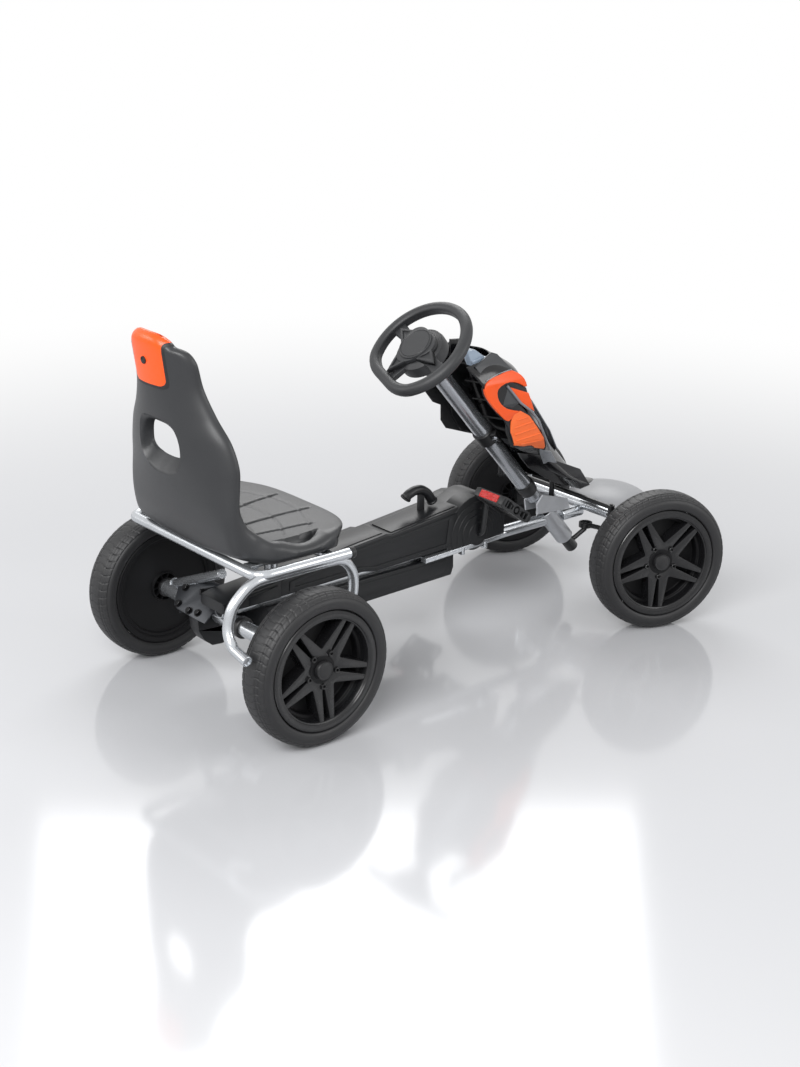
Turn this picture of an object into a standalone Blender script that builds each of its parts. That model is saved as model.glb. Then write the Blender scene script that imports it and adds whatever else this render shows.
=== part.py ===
"""Child's pedal racing kart: tube chassis, steered front wheels, chain drive to the rear axle."""
import bpy
import bmesh
from math import acos, asin, atan2, cos, hypot, pi, radians, sin, tan
from mathutils import Matrix, Vector

# Driving dimensions, metres. X forward from the rear axle, Y to the left, Z up from the ground.
WHEELBASE = 0.880
REAR_TRACK = 0.487
KINGPIN_SPACING = 0.322
KINGPIN_TO_WHEEL = 0.0888
STEER_SHOWN = radians(19.5)
REAR_AXLE_X = -0.4362

GAP = 0.0003
WHEEL_RADIUS = 0.140
TYRE_WIDTH = 0.066
TYRE_BORE = 0.105
RIM_LIP_RADIUS = 0.1095
RIM_LIP_FACE = 0.030
RIM_SEAT_HALF_WIDTH = 0.024
HUB_INNER_FACE = 0.0254
HUB_CAP_RADIUS = 0.021
SPOKE_PAIRS = 5
AXLE_RADIUS = 0.006
AXLE_CLEARANCE = 0.0002

MAIN_TUBE_RADIUS = 0.0125
MAIN_TUBE_Z = 0.168
MAIN_TUBE_REAR_X = -0.030
AXLE_TUBE_RADIUS = 0.015
AXLE_TUBE_BORE = 0.0102
AXLE_TUBE_INNER_Y = 0.045
LEFT_TUBE_INNER_Y = 0.088
BEARING_FLANGE_RADIUS = 0.018
BEARING_FLANGE = 0.005
SPROCKET_Y = 0.066
SPROCKET_THICKNESS = 0.003
CHAIN_PITCH = 0.0127
CHAIN_HALF_HEIGHT = 0.004
CHAIN_WIDTH = 0.007
CHAINWHEEL_TEETH = 24
SPROCKET_TEETH = 16

CRANK_X = 0.560
CRANK_Z = 0.1965
CRANK_AXLE_RADIUS = 0.008
CRANK_SHELL_RADIUS = 0.018
CRANK_LENGTH = 0.073
CRANK_ARM_Y = 0.0475
CRANK_ARM_THICKNESS = 0.008
CRANK_LEAN = radians(7.0)
PEDAL_LENGTH = 0.092
PEDAL_WIDTH = 0.078
PEDAL_THICKNESS = 0.022
PEDAL_PITCH = radians(36.0)

COLUMN_SLOPE = radians(48.44)
HUB_FACE_X = WHEELBASE - 0.462
HUB_FACE_Z = 0.592
RIM_PLANE_DEPTH = 0.0175
WHEEL_RIM_RADIUS = 0.101
WHEEL_RIM_TUBE = 0.0140
WHEEL_FLAT_DEPTH = 0.083
COLUMN_SHAFT_RADIUS = 0.006
UPPER_SLEEVE_RADIUS = 0.018
LOWER_SLEEVE_RADIUS = 0.017
COLLAR_RADIUS = 0.015
COLUMN_BUSH_RADIUS = 0.019
CLAMP_RADIUS = 0.022
HEAD_TUBE_RADIUS = 0.020
HEAD_TUBE_BORE = 0.012
SLEEVE_BORE = 0.0125
UPPER_SLEEVE_START = 0.066
UPPER_SLEEVE_END = 0.274
CLAMP_START = 0.2668
CLAMP_LENGTH = 0.030
LOWER_SLEEVE_END = 0.443
COLUMN_BUSH_LENGTH = 0.029
COLLAR_END = 0.4929
HEAD_TUBE_START = 0.538
HEAD_TUBE_END = 0.633
ARM_HUB_LENGTH = 0.040
ARM_HUB_RADIUS = 0.013

FRONT_AXLE_Z = 0.183
FRONT_AXLE_RADIUS = 0.011
KINGPIN_RADIUS = 0.005
KINGPIN_BOSS_HALF = 0.0225
TIE_ARM_LENGTH = 0.060
TIE_ROD_Z = 0.2235
DRAG_ARM_LENGTH = 0.045
DRAG_LINK_Z = 0.1385
LINK_RADIUS = 0.005

SEAT_TUBE_RADIUS = 0.0095
SEAT_BAR_X = -0.084
SEAT_BAR_Z = 0.307
SEAT_BAR_HALF_WIDTH = 0.1965
SEAT_BAR_FRONT_X = 0.108
SEAT_CROSS_X = 0.085
SEAT_RAIL_Y = 0.150
CAP_WALL = 0.003
CAP_HALF_WIDTH = 0.060
CAP_BOTTOM_Z = 0.612

COVER_WALL = 0.0025
COVER_RIGHT_Y = -0.034
COVER_LEFT_Y = 0.080
GUARD_RIGHT_Y = -0.028
LEVER_X = 0.4545
LEVER_Y = 0.012
FAIRING_WALL = 0.003

SPOKE_START = 0.0225
SPOKE_END = 0.0945
SPOKE_INNER_OFFSET = 0.0085
SPOKE_OUTER_OFFSET = 0.0175
SPOKE_INNER_HALF = 0.006
SPOKE_OUTER_HALF = 0.0075
SPOKE_INNER_TOP = 0.0175
SPOKE_OUTER_TOP = 0.0265
RIM_RECESS_Z = -0.0060
BEARING_SPIGOT = 0.010
MAIN_TUBE_BORE = 0.0103
CRANK_SHELL_HALF = 0.030
CRANK_LEFT_ARM_Y = 0.0860
PEDAL_PIN_RADIUS = 0.0045
PEDAL_PIN_LENGTH = 0.080
PEDAL_SIDE_GAP = 0.003
CHAIN_TOOTH_CLEAR = 0.0018
DRUM_RADIUS = 0.016
DRUM_WIDTH = 0.0105
SHOE_CLEAR = 0.0036
BRAKE_ROD_Y = 0.0735
BRAKE_ROD_RADIUS = 0.0018
BRAKE_PIN_DROP = 0.010
LEVER_HALF = 0.004
LEVER_TOP = 0.0970
LEVER_PIVOT_Z = 0.200
LEVER_PIN_RADIUS = 0.003
LEVER_SLOT_REAR = 0.030
LEVER_SLOT_FRONT = 0.009
GRIP_RADIUS = 0.0095
BRACKET_RISE = 0.9
BRACKET_THICKNESS = 0.003
BRACKET_CHEEK_Y = 0.110
SPROCKET_CLEAR_RADIUS = 0.0370
BRACKET_OUTLINE = [(-0.051, 0.014), (-0.052, 0.040), (-0.051, 0.103), (-0.048, 0.117), (-0.023, 0.139),
                   (0.006, 0.066), (0.006, 0.038), (-0.022, 0.0375), (-0.031, 0.0140)]
BRACKET_SLOT = [(-0.012, 0.084), (0.001, 0.052), (-0.007, 0.046), (-0.020, 0.074)]
EAR_THICKNESS = 0.004
KINGPIN_HEAD_RADIUS = 0.008
KINGPIN_HEAD = 0.005
WEB_INNER_Y = 0.0185
WEB_THICKNESS = 0.006
SPINDLE_LOW_Z = 0.128
ARM_PIN_RADIUS = 0.003
EYE_HALF_HEIGHT = 0.005
EYE_WALL = 0.0035
OPEN_EYE_BORE = 0.0105
COLUMN_ARM_START = 0.6334
HUB_BLIND_END = -0.004
HUB_COVER_RADIUS = 0.034
HUB_COVER_LOBE = 0.004
GUSSET_THICKNESS = 0.004
SEAT_CROSS_Z = 0.300
SEAT_RAIL_TOP = 0.3131
POST_RADIUS = 0.0125
STAY_X = -0.011
STAY_RADIUS = 0.004
PLUG_RADIUS = 0.0108
PLUG_LENGTH = 0.010
BRACE_RADIUS = 0.009
BRACE_START = (0.004, 0.192, 0.1530)
BRACE_END = (-0.0105, 0.0155, 0.2310)
HOOP_TOP_Z = 0.2877
HOOP_Y = -0.1900
HOOP_ROUTE = [(-0.1485, -0.2500, 0.192), (-0.1470, -0.1920, 0.200), (-0.1440, HOOP_Y, 0.235),
              (-0.1050, HOOP_Y, HOOP_TOP_Z), (0.1210, HOOP_Y, HOOP_TOP_Z), (0.1240, -0.1880, 0.195),
              (0.0190, -0.1650, 0.1600)]
HAND_HOLE_Z = 0.495
HAND_HOLE_HALF_WIDTH = 0.057
HAND_HOLE_HALF_HEIGHT = 0.045
REAR_COVER_LEFT_Y = 0.034
REAR_COVER_END_X = 0.080
REAR_GUARD_END_X = 0.055
REAR_GUARD_RIGHT_Y = 0.052
PANEL_STAND_OFF = 0.0032
PANEL_WALL = 0.0022
RIDGE_LIFT = 0.0016
HOOD_LEVEL = 0.54
HOOD_MIDDLE = [(0.494, 0.0, 0.5640), (0.556, 0.0, 0.5770)]
STRUT_X = 0.795
STRUT_FOOT_Z = 0.2135
STRUT_RADIUS = 0.0055
STRUT_ROUTE = [(STRUT_X, 0.0, STRUT_FOOT_Z - 0.004), (STRUT_X, 0.0, 0.262), (0.7790, 0.0, 0.3170)]
SCREEN_FOOT = [(0.487, -0.054, 0.5620), (0.524, -0.049, 0.5685), (0.552, -0.030, 0.5768), (0.560, 0.0, 0.5795)]
SCREEN_TOP = [(0.473, -0.053, 0.5870), (0.512, -0.047, 0.5900), (0.536, -0.028, 0.5950), (0.544, 0.0, 0.5970)]
NOSE_CENTRE = (WHEELBASE + 0.0859, 0.0, FRONT_AXLE_Z)
NOSE_HALF = (0.0745, 0.1050, 0.0320)

COLLECTION = "racing_kart"
CUTTERS = "cutters"
Y_AXIS = Vector((0.0, 1.0, 0.0))
Z_AXIS = Vector((0.0, 0.0, 1.0))
COLUMN_DIR = Vector((cos(COLUMN_SLOPE), 0.0, -sin(COLUMN_SLOPE)))


def clear_scene():
    for item in list(bpy.data.objects):
        bpy.data.objects.remove(item)
    for name in (COLLECTION, CUTTERS):
        bpy.context.scene.collection.children.link(bpy.data.collections.new(name))


def material(name, colour, roughness, metallic):
    """Principled material with one colour."""
    found = bpy.data.materials.get(name)
    if found:
        return found
    made = bpy.data.materials.new(name)
    made.use_nodes = True
    shader = made.node_tree.nodes["Principled BSDF"]
    shader.inputs["Base Color"].default_value = (*colour, 1.0)
    shader.inputs["Roughness"].default_value = roughness
    shader.inputs["Metallic"].default_value = metallic
    return made


def finish(key):
    """Materials of the kart by finish."""
    table = {
        "zinc": ("zinc_plated_steel", (0.62, 0.63, 0.65), 0.28, 1.0),
        "grey_paint": ("grey_metallic_paint", (0.30, 0.31, 0.33), 0.40, 0.6),
        "black_plastic": ("black_plastic", (0.025, 0.025, 0.028), 0.42, 0.0),
        "black_gloss": ("black_gloss_plastic", (0.018, 0.018, 0.020), 0.20, 0.0),
        "tyre": ("tyre_rubber", (0.030, 0.030, 0.033), 0.60, 0.0),
        "orange": ("orange_plastic", (0.85, 0.17, 0.03), 0.35, 0.0),
        "black_paint": ("black_painted_steel", (0.030, 0.030, 0.032), 0.35, 0.3),
        "steel": ("bright_steel", (0.55, 0.55, 0.57), 0.30, 1.0),
        "red": ("red_reflector", (0.45, 0.02, 0.02), 0.15, 0.0),
        "silver": ("silver_plastic", (0.50, 0.51, 0.53), 0.30, 0.3),
        "screen": ("tinted_screen", (0.35, 0.42, 0.48), 0.10, 0.0),
    }
    return material(*table[key])


def link(obj, key, parent=None, smooth=True, cutter=False):
    """Put an object in its collection, give it its finish and hang it on its parent."""
    bpy.data.collections[CUTTERS if cutter else COLLECTION].objects.link(obj)
    if cutter:
        obj.hide_render = True
        obj.display_type = "WIRE"
    else:
        obj.data.materials.clear()
        obj.data.materials.append(finish(key))
        if smooth and obj.type == "MESH":
            obj.data.shade_smooth()
            obj.data.set_sharp_from_angle(angle=radians(35.0))
    obj.parent = parent
    return obj


def from_bmesh(name, shape, key="", parent=None, smooth=True, cutter=False):
    mesh = bpy.data.meshes.new(name)
    shape.to_mesh(mesh)
    shape.free()
    return link(bpy.data.objects.new(name, mesh), key, parent, smooth, cutter)


def axis_empty(name, location, rotation=None, parent=None):
    """Empty on a joint's axis."""
    empty = bpy.data.objects.new(name, None)
    bpy.data.collections[COLLECTION].objects.link(empty)
    empty.location = location
    if rotation is not None:
        empty.rotation_euler = rotation.to_euler()
    empty.parent = parent
    return empty


def aim(direction):
    """Rotation that turns local Z to a direction."""
    return Vector(direction).to_track_quat("Z", "Y").to_matrix().to_4x4()


def rod(name, start, end, radius, key="", parent=None, sides=16, cutter=False, end_radius=None):
    """Solid round bar between two points."""
    start, end = Vector(start), Vector(end)
    shape = bmesh.new()
    place = Matrix.Translation((start + end) / 2) @ aim(end - start)
    bmesh.ops.create_cone(shape, cap_ends=True, segments=sides, radius1=radius,
                          radius2=radius if end_radius is None else end_radius,
                          depth=(end - start).length, matrix=place)
    return from_bmesh(name, shape, key, parent, cutter=cutter)


def block(name, low, high, key="", parent=None, cutter=False, bevel=0.0, turn=None):
    """Rectangular block between two corners, turned about its centre."""
    low, high = Vector(low), Vector(high)
    shape = bmesh.new()
    size = high - low
    place = Matrix.Translation((low + high) / 2) @ (turn or Matrix.Identity(4)) @ Matrix.Diagonal((*size, 1.0))
    bmesh.ops.create_cube(shape, size=1.0, matrix=place)
    if bevel:
        bmesh.ops.bevel(shape, geom=shape.edges[:], offset=bevel, segments=1, profile=0.5, affect="EDGES")
    return from_bmesh(name, shape, key, parent, smooth=False, cutter=cutter)


def turned(name, profile, key="", parent=None, steps=24, closed=False, place=None, cutter=False):
    """Body of revolution about local Z; the profile (radius, height) runs top to bottom outside."""
    mesh = bpy.data.meshes.new(name)
    points = [(r, 0.0, z) for r, z in profile]
    edges = [(i, i + 1) for i in range(len(points) - 1)]
    if closed:
        edges.append((len(points) - 1, 0))
    mesh.from_pydata(points, edges, [])
    obj = link(bpy.data.objects.new(name, mesh), key, parent, cutter=cutter)
    screw = obj.modifiers.new("turn", "SCREW")
    screw.axis = "Z"
    screw.angle = 2.0 * pi
    screw.steps = steps
    screw.render_steps = steps
    screw.use_merge_vertices = True
    screw.merge_threshold = 0.00001
    screw.use_smooth_shade = True
    if place is not None:
        obj.matrix_local = place
    return obj


def pipe(name, points, radius, key="", parent=None, resolution=2, cyclic=False, bend=0.0, steps=4, cutter=False):
    """Round tube along points as a bevelled curve made into a mesh; bends get a radius."""
    points = [Vector(p) for p in points]
    route = rounded(points, bend, steps, cyclic) if bend else points
    curve = bpy.data.curves.new(name, "CURVE")
    curve.dimensions = "3D"
    curve.bevel_depth = radius
    curve.bevel_resolution = resolution
    curve.use_fill_caps = not cyclic
    spline = curve.splines.new("POLY")
    spline.points.add(len(route) - 1)
    for node, p in zip(spline.points, route):
        node.co = (*p, 1.0)
    spline.use_cyclic_u = cyclic
    return curve_to_mesh(name, curve, key, parent, cutter)


def rounded(points, radius, steps, cyclic=False):
    """Polyline with its corners replaced by arcs of one radius."""
    route = []
    count = len(points)
    for i, corner in enumerate(points):
        if not cyclic and i in (0, count - 1):
            route.append(corner)
            continue
        before = (points[i - 1] - corner).normalized()
        after = (points[(i + 1) % count] - corner).normalized()
        angle = before.angle(after)
        if pi - angle < 0.05:
            route.append(corner)
            continue
        reach = radius / tan(angle / 2.0)
        centre = corner + (before + after).normalized() * (radius / sin(angle / 2.0))
        start = corner + before * reach - centre
        end = corner + after * reach - centre
        for k in range(steps + 1):
            route.append(centre + start.slerp(end, k / steps).normalized() * start.length)
    return route


def curve_to_mesh(name, curve, key, parent, cutter):
    """Evaluated curve as a welded mesh object."""
    guide = bpy.data.objects.new(name + "_curve", curve)
    bpy.data.collections[CUTTERS].objects.link(guide)
    bpy.context.view_layer.update()
    mesh = bpy.data.meshes.new_from_object(guide.evaluated_get(bpy.context.evaluated_depsgraph_get()))
    bpy.data.objects.remove(guide)
    shape = bmesh.new()
    shape.from_mesh(mesh)
    bpy.data.meshes.remove(mesh)
    bmesh.ops.remove_doubles(shape, verts=shape.verts[:], dist=0.00002)
    return from_bmesh(name, shape, key, parent, cutter=cutter)


def plate(name, outline, thickness, key="", parent=None, place=None, bevel=0.0, holes=(), cutter=False):
    """Flat plate from an outline in the local XY plane, centred on it in thickness."""
    curve = bpy.data.curves.new(name, "CURVE")
    curve.dimensions = "2D"
    curve.fill_mode = "BOTH"
    curve.extrude = thickness / 2.0 - bevel
    curve.bevel_depth = bevel
    curve.bevel_resolution = 0
    if bevel:
        curve.offset = -bevel
    for ring in (outline, *holes):
        spline = curve.splines.new("POLY")
        spline.points.add(len(ring) - 1)
        for node, p in zip(spline.points, ring):
            node.co = (p[0], p[1], 0.0, 1.0)
        spline.use_cyclic_u = True
    obj = curve_to_mesh(name, curve, key, parent, cutter)
    if place is not None:
        obj.matrix_local = place
    return obj


def side_plate(name, outline_xz, y_low, y_high, key="", parent=None, bevel=0.0, holes=(), cutter=False):
    """Plate whose outline is given in the XZ plane, between two Y values."""
    place = Matrix.Translation((0.0, (y_low + y_high) / 2.0, 0.0)) @ Matrix.Rotation(radians(90.0), 4, "X")
    return plate(name, outline_xz, y_high - y_low, key, parent, place, bevel, holes, cutter)


def cut(obj, *cutters, join=False):
    """Boolean of an object with others; joined pieces are moved to the cutters."""
    for index, other in enumerate(cutters):
        step = obj.modifiers.new(("join" if join else "cut") + str(index), "BOOLEAN")
        step.operation = "UNION" if join else "DIFFERENCE"
        step.solver = "EXACT"
        step.object = other
        if join and other.name in bpy.data.collections[COLLECTION].objects:
            bpy.data.collections[COLLECTION].objects.unlink(other)
            bpy.data.collections[CUTTERS].objects.link(other)
        other.hide_render = True
        other.display_type = "WIRE"
    return obj


def circle(radius, count, centre=(0.0, 0.0), start=0.0):
    return [(centre[0] + radius * cos(start + 2 * pi * i / count),
             centre[1] + radius * sin(start + 2 * pi * i / count)) for i in range(count)]


def arc(centre, radius, first, last, count):
    """Points on an arc, angles in degrees, both ends included."""
    return [(centre[0] + radius * cos(radians(first + (last - first) * i / (count - 1))),
             centre[1] + radius * sin(radians(first + (last - first) * i / (count - 1)))) for i in range(count)]


def tube_profile(outer, bore, low, high):
    """Closed section of a straight tube."""
    return [(outer, high), (outer, low), (bore, low), (bore, high)]


# Wheels

def wheel_axes():
    """Empties on the four wheel axes; local Z points outwards along the axle."""
    steer = Matrix.Rotation(-STEER_SHOWN, 4, "Z")
    axes = {}
    for end, side in (("rear", "left"), ("rear", "right"), ("front", "left"), ("front", "right")):
        sign = 1.0 if side == "left" else -1.0
        outward = Matrix.Rotation(radians(-90.0 * sign), 4, "X")
        if end == "rear":
            place = Vector((0.0, sign * REAR_TRACK / 2.0, WHEEL_RADIUS))
            turn = outward
        else:
            reach = steer @ Vector((0.0, sign * KINGPIN_TO_WHEEL, 0.0))
            place = Vector((WHEELBASE, sign * KINGPIN_SPACING / 2.0, WHEEL_RADIUS)) + reach
            turn = steer @ outward
        axes[end + "_" + side] = axis_empty(end + "_" + side + "_wheel_axis", place, turn)
    return axes


def tyre_profile():
    half = TYRE_WIDTH / 2.0
    shoulder = [(0.1240, half), (0.1345, half - 0.004), (0.1388, half - 0.0115), (WHEEL_RADIUS, 0.009)]
    outside = [(RIM_LIP_RADIUS + 2 * GAP, RIM_LIP_FACE)] + shoulder
    mirrored = [(r, -z) for r, z in reversed(outside)]
    seat = [(RIM_LIP_RADIUS + 2 * GAP, -RIM_SEAT_HALF_WIDTH), (TYRE_BORE, -RIM_SEAT_HALF_WIDTH),
            (TYRE_BORE, RIM_SEAT_HALF_WIDTH), (RIM_LIP_RADIUS + 2 * GAP, RIM_SEAT_HALF_WIDTH)]
    return outside + mirrored + seat


def rim_profile():
    """Section of the rim: lip, barrel, plain inner disc and the recessed outer disc."""
    lip_in = RIM_SEAT_HALF_WIDTH + GAP
    seat = TYRE_BORE - GAP
    bore = AXLE_RADIUS + AXLE_CLEARANCE
    return [(0.0930, 0.0290), (0.1000, RIM_LIP_FACE + 0.001), (RIM_LIP_RADIUS, RIM_LIP_FACE), (RIM_LIP_RADIUS, lip_in),
            (seat, lip_in), (seat, -lip_in), (RIM_LIP_RADIUS, -lip_in), (RIM_LIP_RADIUS, -RIM_LIP_FACE),
            (0.0960, -0.0285), (0.0900, -0.0205), (0.0270, -0.0205), (0.0270, -HUB_INNER_FACE),
            (bore, -HUB_INNER_FACE), (bore, 0.0190), (0.0260, 0.0190), (0.0300, -0.0060), (0.0880, -0.0060)]


def make_wheel(name, axis, masters):
    """Tyre, rim and hub cap on one wheel axis; the first wheel makes the shared meshes."""
    steps = 32
    tyre = turned("tyre_" + name, tyre_profile(), "tyre", axis, steps, closed=True)
    rim = turned("rim_" + name, rim_profile(), "black_gloss", axis, steps, closed=True)
    spokes = masters.get("spokes")
    if not spokes:
        spokes = make_spokes(axis)
        masters["spokes"] = spokes
    if name == "rear_left":
        own = spokes
    else:
        own = bpy.data.objects.new("spokes_" + name, spokes.data)
        link(own, "black_gloss", axis, cutter=True)
    cut(rim, own, join=True)
    cap = [(0.0, 0.0282), (0.0150, 0.0270), (HUB_CAP_RADIUS, 0.0240), (HUB_CAP_RADIUS, 0.0190 + GAP),
           (0.0, 0.0190 + GAP)]
    hub_cap = turned("hub_cap_" + name, cap, "black_plastic", axis, 20)
    return tyre, rim, hub_cap


def make_spokes(axis):
    """Five pairs of spokes from the hub to the rim lip, as one mesh."""
    shape = bmesh.new()
    for pair in range(SPOKE_PAIRS):
        turn = Matrix.Rotation(2 * pi * pair / SPOKE_PAIRS + pi / 2, 4, "Z")
        for side in (-1.0, 1.0):
            inner, outer = side * SPOKE_INNER_OFFSET, side * SPOKE_OUTER_OFFSET
            corners = [(SPOKE_START, inner - SPOKE_INNER_HALF, SPOKE_INNER_TOP),
                       (SPOKE_START, inner + SPOKE_INNER_HALF, SPOKE_INNER_TOP),
                       (SPOKE_END, outer + SPOKE_OUTER_HALF, SPOKE_OUTER_TOP),
                       (SPOKE_END, outer - SPOKE_OUTER_HALF, SPOKE_OUTER_TOP)]
            low = [shape.verts.new(turn @ Vector((x, y, RIM_RECESS_Z - GAP))) for x, y, z in corners]
            high = [shape.verts.new(turn @ Vector(p)) for p in corners]
            shape.faces.new(high)
            shape.faces.new(list(reversed(low)))
            for i in range(4):
                j = (i + 1) % 4
                shape.faces.new((low[i], low[j], high[j], high[i]))
    return from_bmesh("spokes_rear_left", shape, "black_gloss", axis, cutter=True)


# Rear axle and drive

def on_y(y_low):
    """Placement that lays local Z along Y from the rear axle line."""
    return Matrix.Translation((0.0, y_low, WHEEL_RADIUS)) @ Matrix.Rotation(radians(-90.0), 4, "X")


def make_axle_tubes():
    """Right and left axle tubes with a bearing in each end; a brace rises from the left one."""
    outer_end = REAR_TRACK / 2.0 - HUB_INNER_FACE - BEARING_FLANGE - 2 * GAP
    right_length = outer_end + AXLE_TUBE_INNER_Y
    left_length = outer_end - LEFT_TUBE_INNER_Y
    right = turned("axle_tube_right", tube_profile(AXLE_TUBE_RADIUS, AXLE_TUBE_BORE, 0.0, right_length),
                   "zinc", None, 24, True, on_y(-outer_end))
    left = turned("axle_tube_left", tube_profile(AXLE_TUBE_RADIUS, AXLE_TUBE_BORE, 0.0, left_length),
                  "zinc", None, 24, True, on_y(LEFT_TUBE_INNER_Y))
    cut(left, rod("axle_brace", BRACE_START, BRACE_END, BRACE_RADIUS, "zinc"), join=True)
    cut_after(left, rod("brace_bore_clear", (0.0, LEFT_TUBE_INNER_Y, WHEEL_RADIUS), (0.0, outer_end, WHEEL_RADIUS),
                        AXLE_TUBE_BORE, sides=24, cutter=True))
    make_bearing("axle_bearing_right", -outer_end, 90.0)
    make_bearing("axle_bearing_left", outer_end, -90.0)
    return right, left


def make_bearing(name, y, turn):
    """Flanged plain bearing pressed into an axle tube's outer end."""
    bore = AXLE_RADIUS + AXLE_CLEARANCE
    spigot = AXLE_TUBE_BORE - GAP
    section = [(BEARING_FLANGE_RADIUS, BEARING_FLANGE + GAP), (BEARING_FLANGE_RADIUS, GAP), (spigot, GAP),
               (spigot, -BEARING_SPIGOT), (bore, -BEARING_SPIGOT), (bore, BEARING_FLANGE + GAP)]
    place = Matrix.Translation((0.0, y, WHEEL_RADIUS)) @ Matrix.Rotation(radians(turn), 4, "X")
    return turned(name, section, "black_plastic", None, 20, True, place)


def make_main_tube():
    """Backbone tube with the crank shell and the brake lever's pivot lug welded on."""
    head_x = (HUB_FACE_Z - MAIN_TUBE_Z) / tan(COLUMN_SLOPE) + HUB_FACE_X
    length = head_x - MAIN_TUBE_REAR_X
    place = Matrix.Translation((MAIN_TUBE_REAR_X, 0.0, MAIN_TUBE_Z)) @ Matrix.Rotation(radians(90.0), 4, "Y")
    tube = turned("main_tube", tube_profile(MAIN_TUBE_RADIUS, MAIN_TUBE_BORE, 0.0, length), "zinc", None, 20,
                  True, place)
    shell = rod("crank_shell", (CRANK_X, -CRANK_SHELL_HALF, CRANK_Z), (CRANK_X, CRANK_SHELL_HALF, CRANK_Z),
                CRANK_SHELL_RADIUS, "zinc", sides=20)
    lug = block("lever_lug", (LEVER_X - 0.010, -0.006, MAIN_TUBE_Z + 0.004),
                (LEVER_X + 0.010, LEVER_Y - LEVER_HALF - 2 * GAP, LEVER_PIVOT_Z + 0.008), "zinc")
    pin = rod("lever_pin", (LEVER_X, 0.0, LEVER_PIVOT_Z), (LEVER_X, LEVER_Y + LEVER_HALF + 0.001, LEVER_PIVOT_Z),
              LEVER_PIN_RADIUS, "zinc", sides=12)
    cut(tube, shell, lug, pin, join=True)
    bore = rod("crank_bore", (CRANK_X, -0.1, CRANK_Z), (CRANK_X, 0.1, CRANK_Z),
               CRANK_AXLE_RADIUS + AXLE_CLEARANCE, "zinc", sides=20, cutter=True)
    cut_after(tube, bore, column_cutter("main_head_cut", HEAD_TUBE_RADIUS + GAP))
    return tube


def cut_after(obj, *cutters):
    """Difference added after the joins that an object already has."""
    for other in cutters:
        step = obj.modifiers.new("cut_" + other.name, "BOOLEAN")
        step.operation = "DIFFERENCE"
        step.solver = "EXACT"
        step.object = other
    return obj


def column_point(distance):
    """Point on the steering axis, measured from the hub's top face."""
    return Vector((HUB_FACE_X, 0.0, HUB_FACE_Z)) + COLUMN_DIR * distance


def column_place(distance):
    """Placement with local -Z down the steering axis and local X to the driver's right."""
    turn = Matrix(((0.0, sin(COLUMN_SLOPE), -cos(COLUMN_SLOPE), 0.0), (-1.0, 0.0, 0.0, 0.0),
                   (0.0, cos(COLUMN_SLOPE), sin(COLUMN_SLOPE), 0.0), (0.0, 0.0, 0.0, 1.0)))
    return Matrix.Translation(column_point(distance)) @ turn


def column_cutter(name, radius):
    return rod(name, column_point(HEAD_TUBE_START - 0.01), column_point(HEAD_TUBE_END + 0.01), radius,
               "zinc", sides=32, cutter=True)


def column_tube(name, outer, bore, start, end, key, steps=24):
    return turned(name, tube_profile(outer, bore, start - end, 0.0), key, None, steps, True, column_place(start))


def make_rear_bracket():
    """Sloping sheet yoke over the sprocket, with a cheek down to the left axle tube."""
    slope = atan2(BRACKET_RISE, 1.0)
    run = 1.0 / cos(slope)
    lift = (SPROCKET_CLEAR_RADIUS + BRACKET_THICKNESS / 2.0) / cos(slope)
    outline = [(x * run, y) for x, y in BRACKET_OUTLINE]
    slot = [(x * run, y) for x, y in BRACKET_SLOT]
    place = Matrix.Translation((0.0, 0.0, WHEEL_RADIUS + lift)) @ Matrix.Rotation(-slope, 4, "Y")
    yoke = plate("rear_bracket", outline, BRACKET_THICKNESS, "grey_paint", None, place, holes=(slot,))
    top = WHEEL_RADIUS + lift
    cheek = side_plate("bracket_cheek", [(-0.040, 0.131), (0.024, 0.131), (0.024, 0.150),
                                         (-0.016, top - 0.016 * BRACKET_RISE), (-0.040, top - 0.040 * BRACKET_RISE)],
                       BRACKET_CHEEK_Y, BRACKET_CHEEK_Y + BRACKET_THICKNESS, "grey_paint")
    cut(yoke, cheek, join=True)
    clear = rod("bracket_tube_clear", (0.0, 0.05, WHEEL_RADIUS), (0.0, 0.19, WHEEL_RADIUS), AXLE_TUBE_RADIUS + GAP,
                sides=24, cutter=True)
    notch = rod("bracket_brace_clear", BRACE_START, BRACE_END, BRACE_RADIUS + GAP, sides=24, cutter=True)
    return cut_after(yoke, clear, notch)


def chain_radius(teeth):
    return CHAIN_PITCH / (2.0 * sin(pi / teeth))


def sprocket_outline(teeth):
    """Toothed outline: low between rollers, high at the tooth tips."""
    pitch = chain_radius(teeth)
    points = []
    for tooth in range(teeth):
        for share, radius in ((0.0, pitch - 0.0036), (0.28, pitch - 0.0020), (0.42, pitch + 0.0014),
                              (0.58, pitch + 0.0014), (0.72, pitch - 0.0020)):
            angle = 2.0 * pi * (tooth + share) / teeth
            points.append((radius * cos(angle), radius * sin(angle)))
    return points


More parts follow.
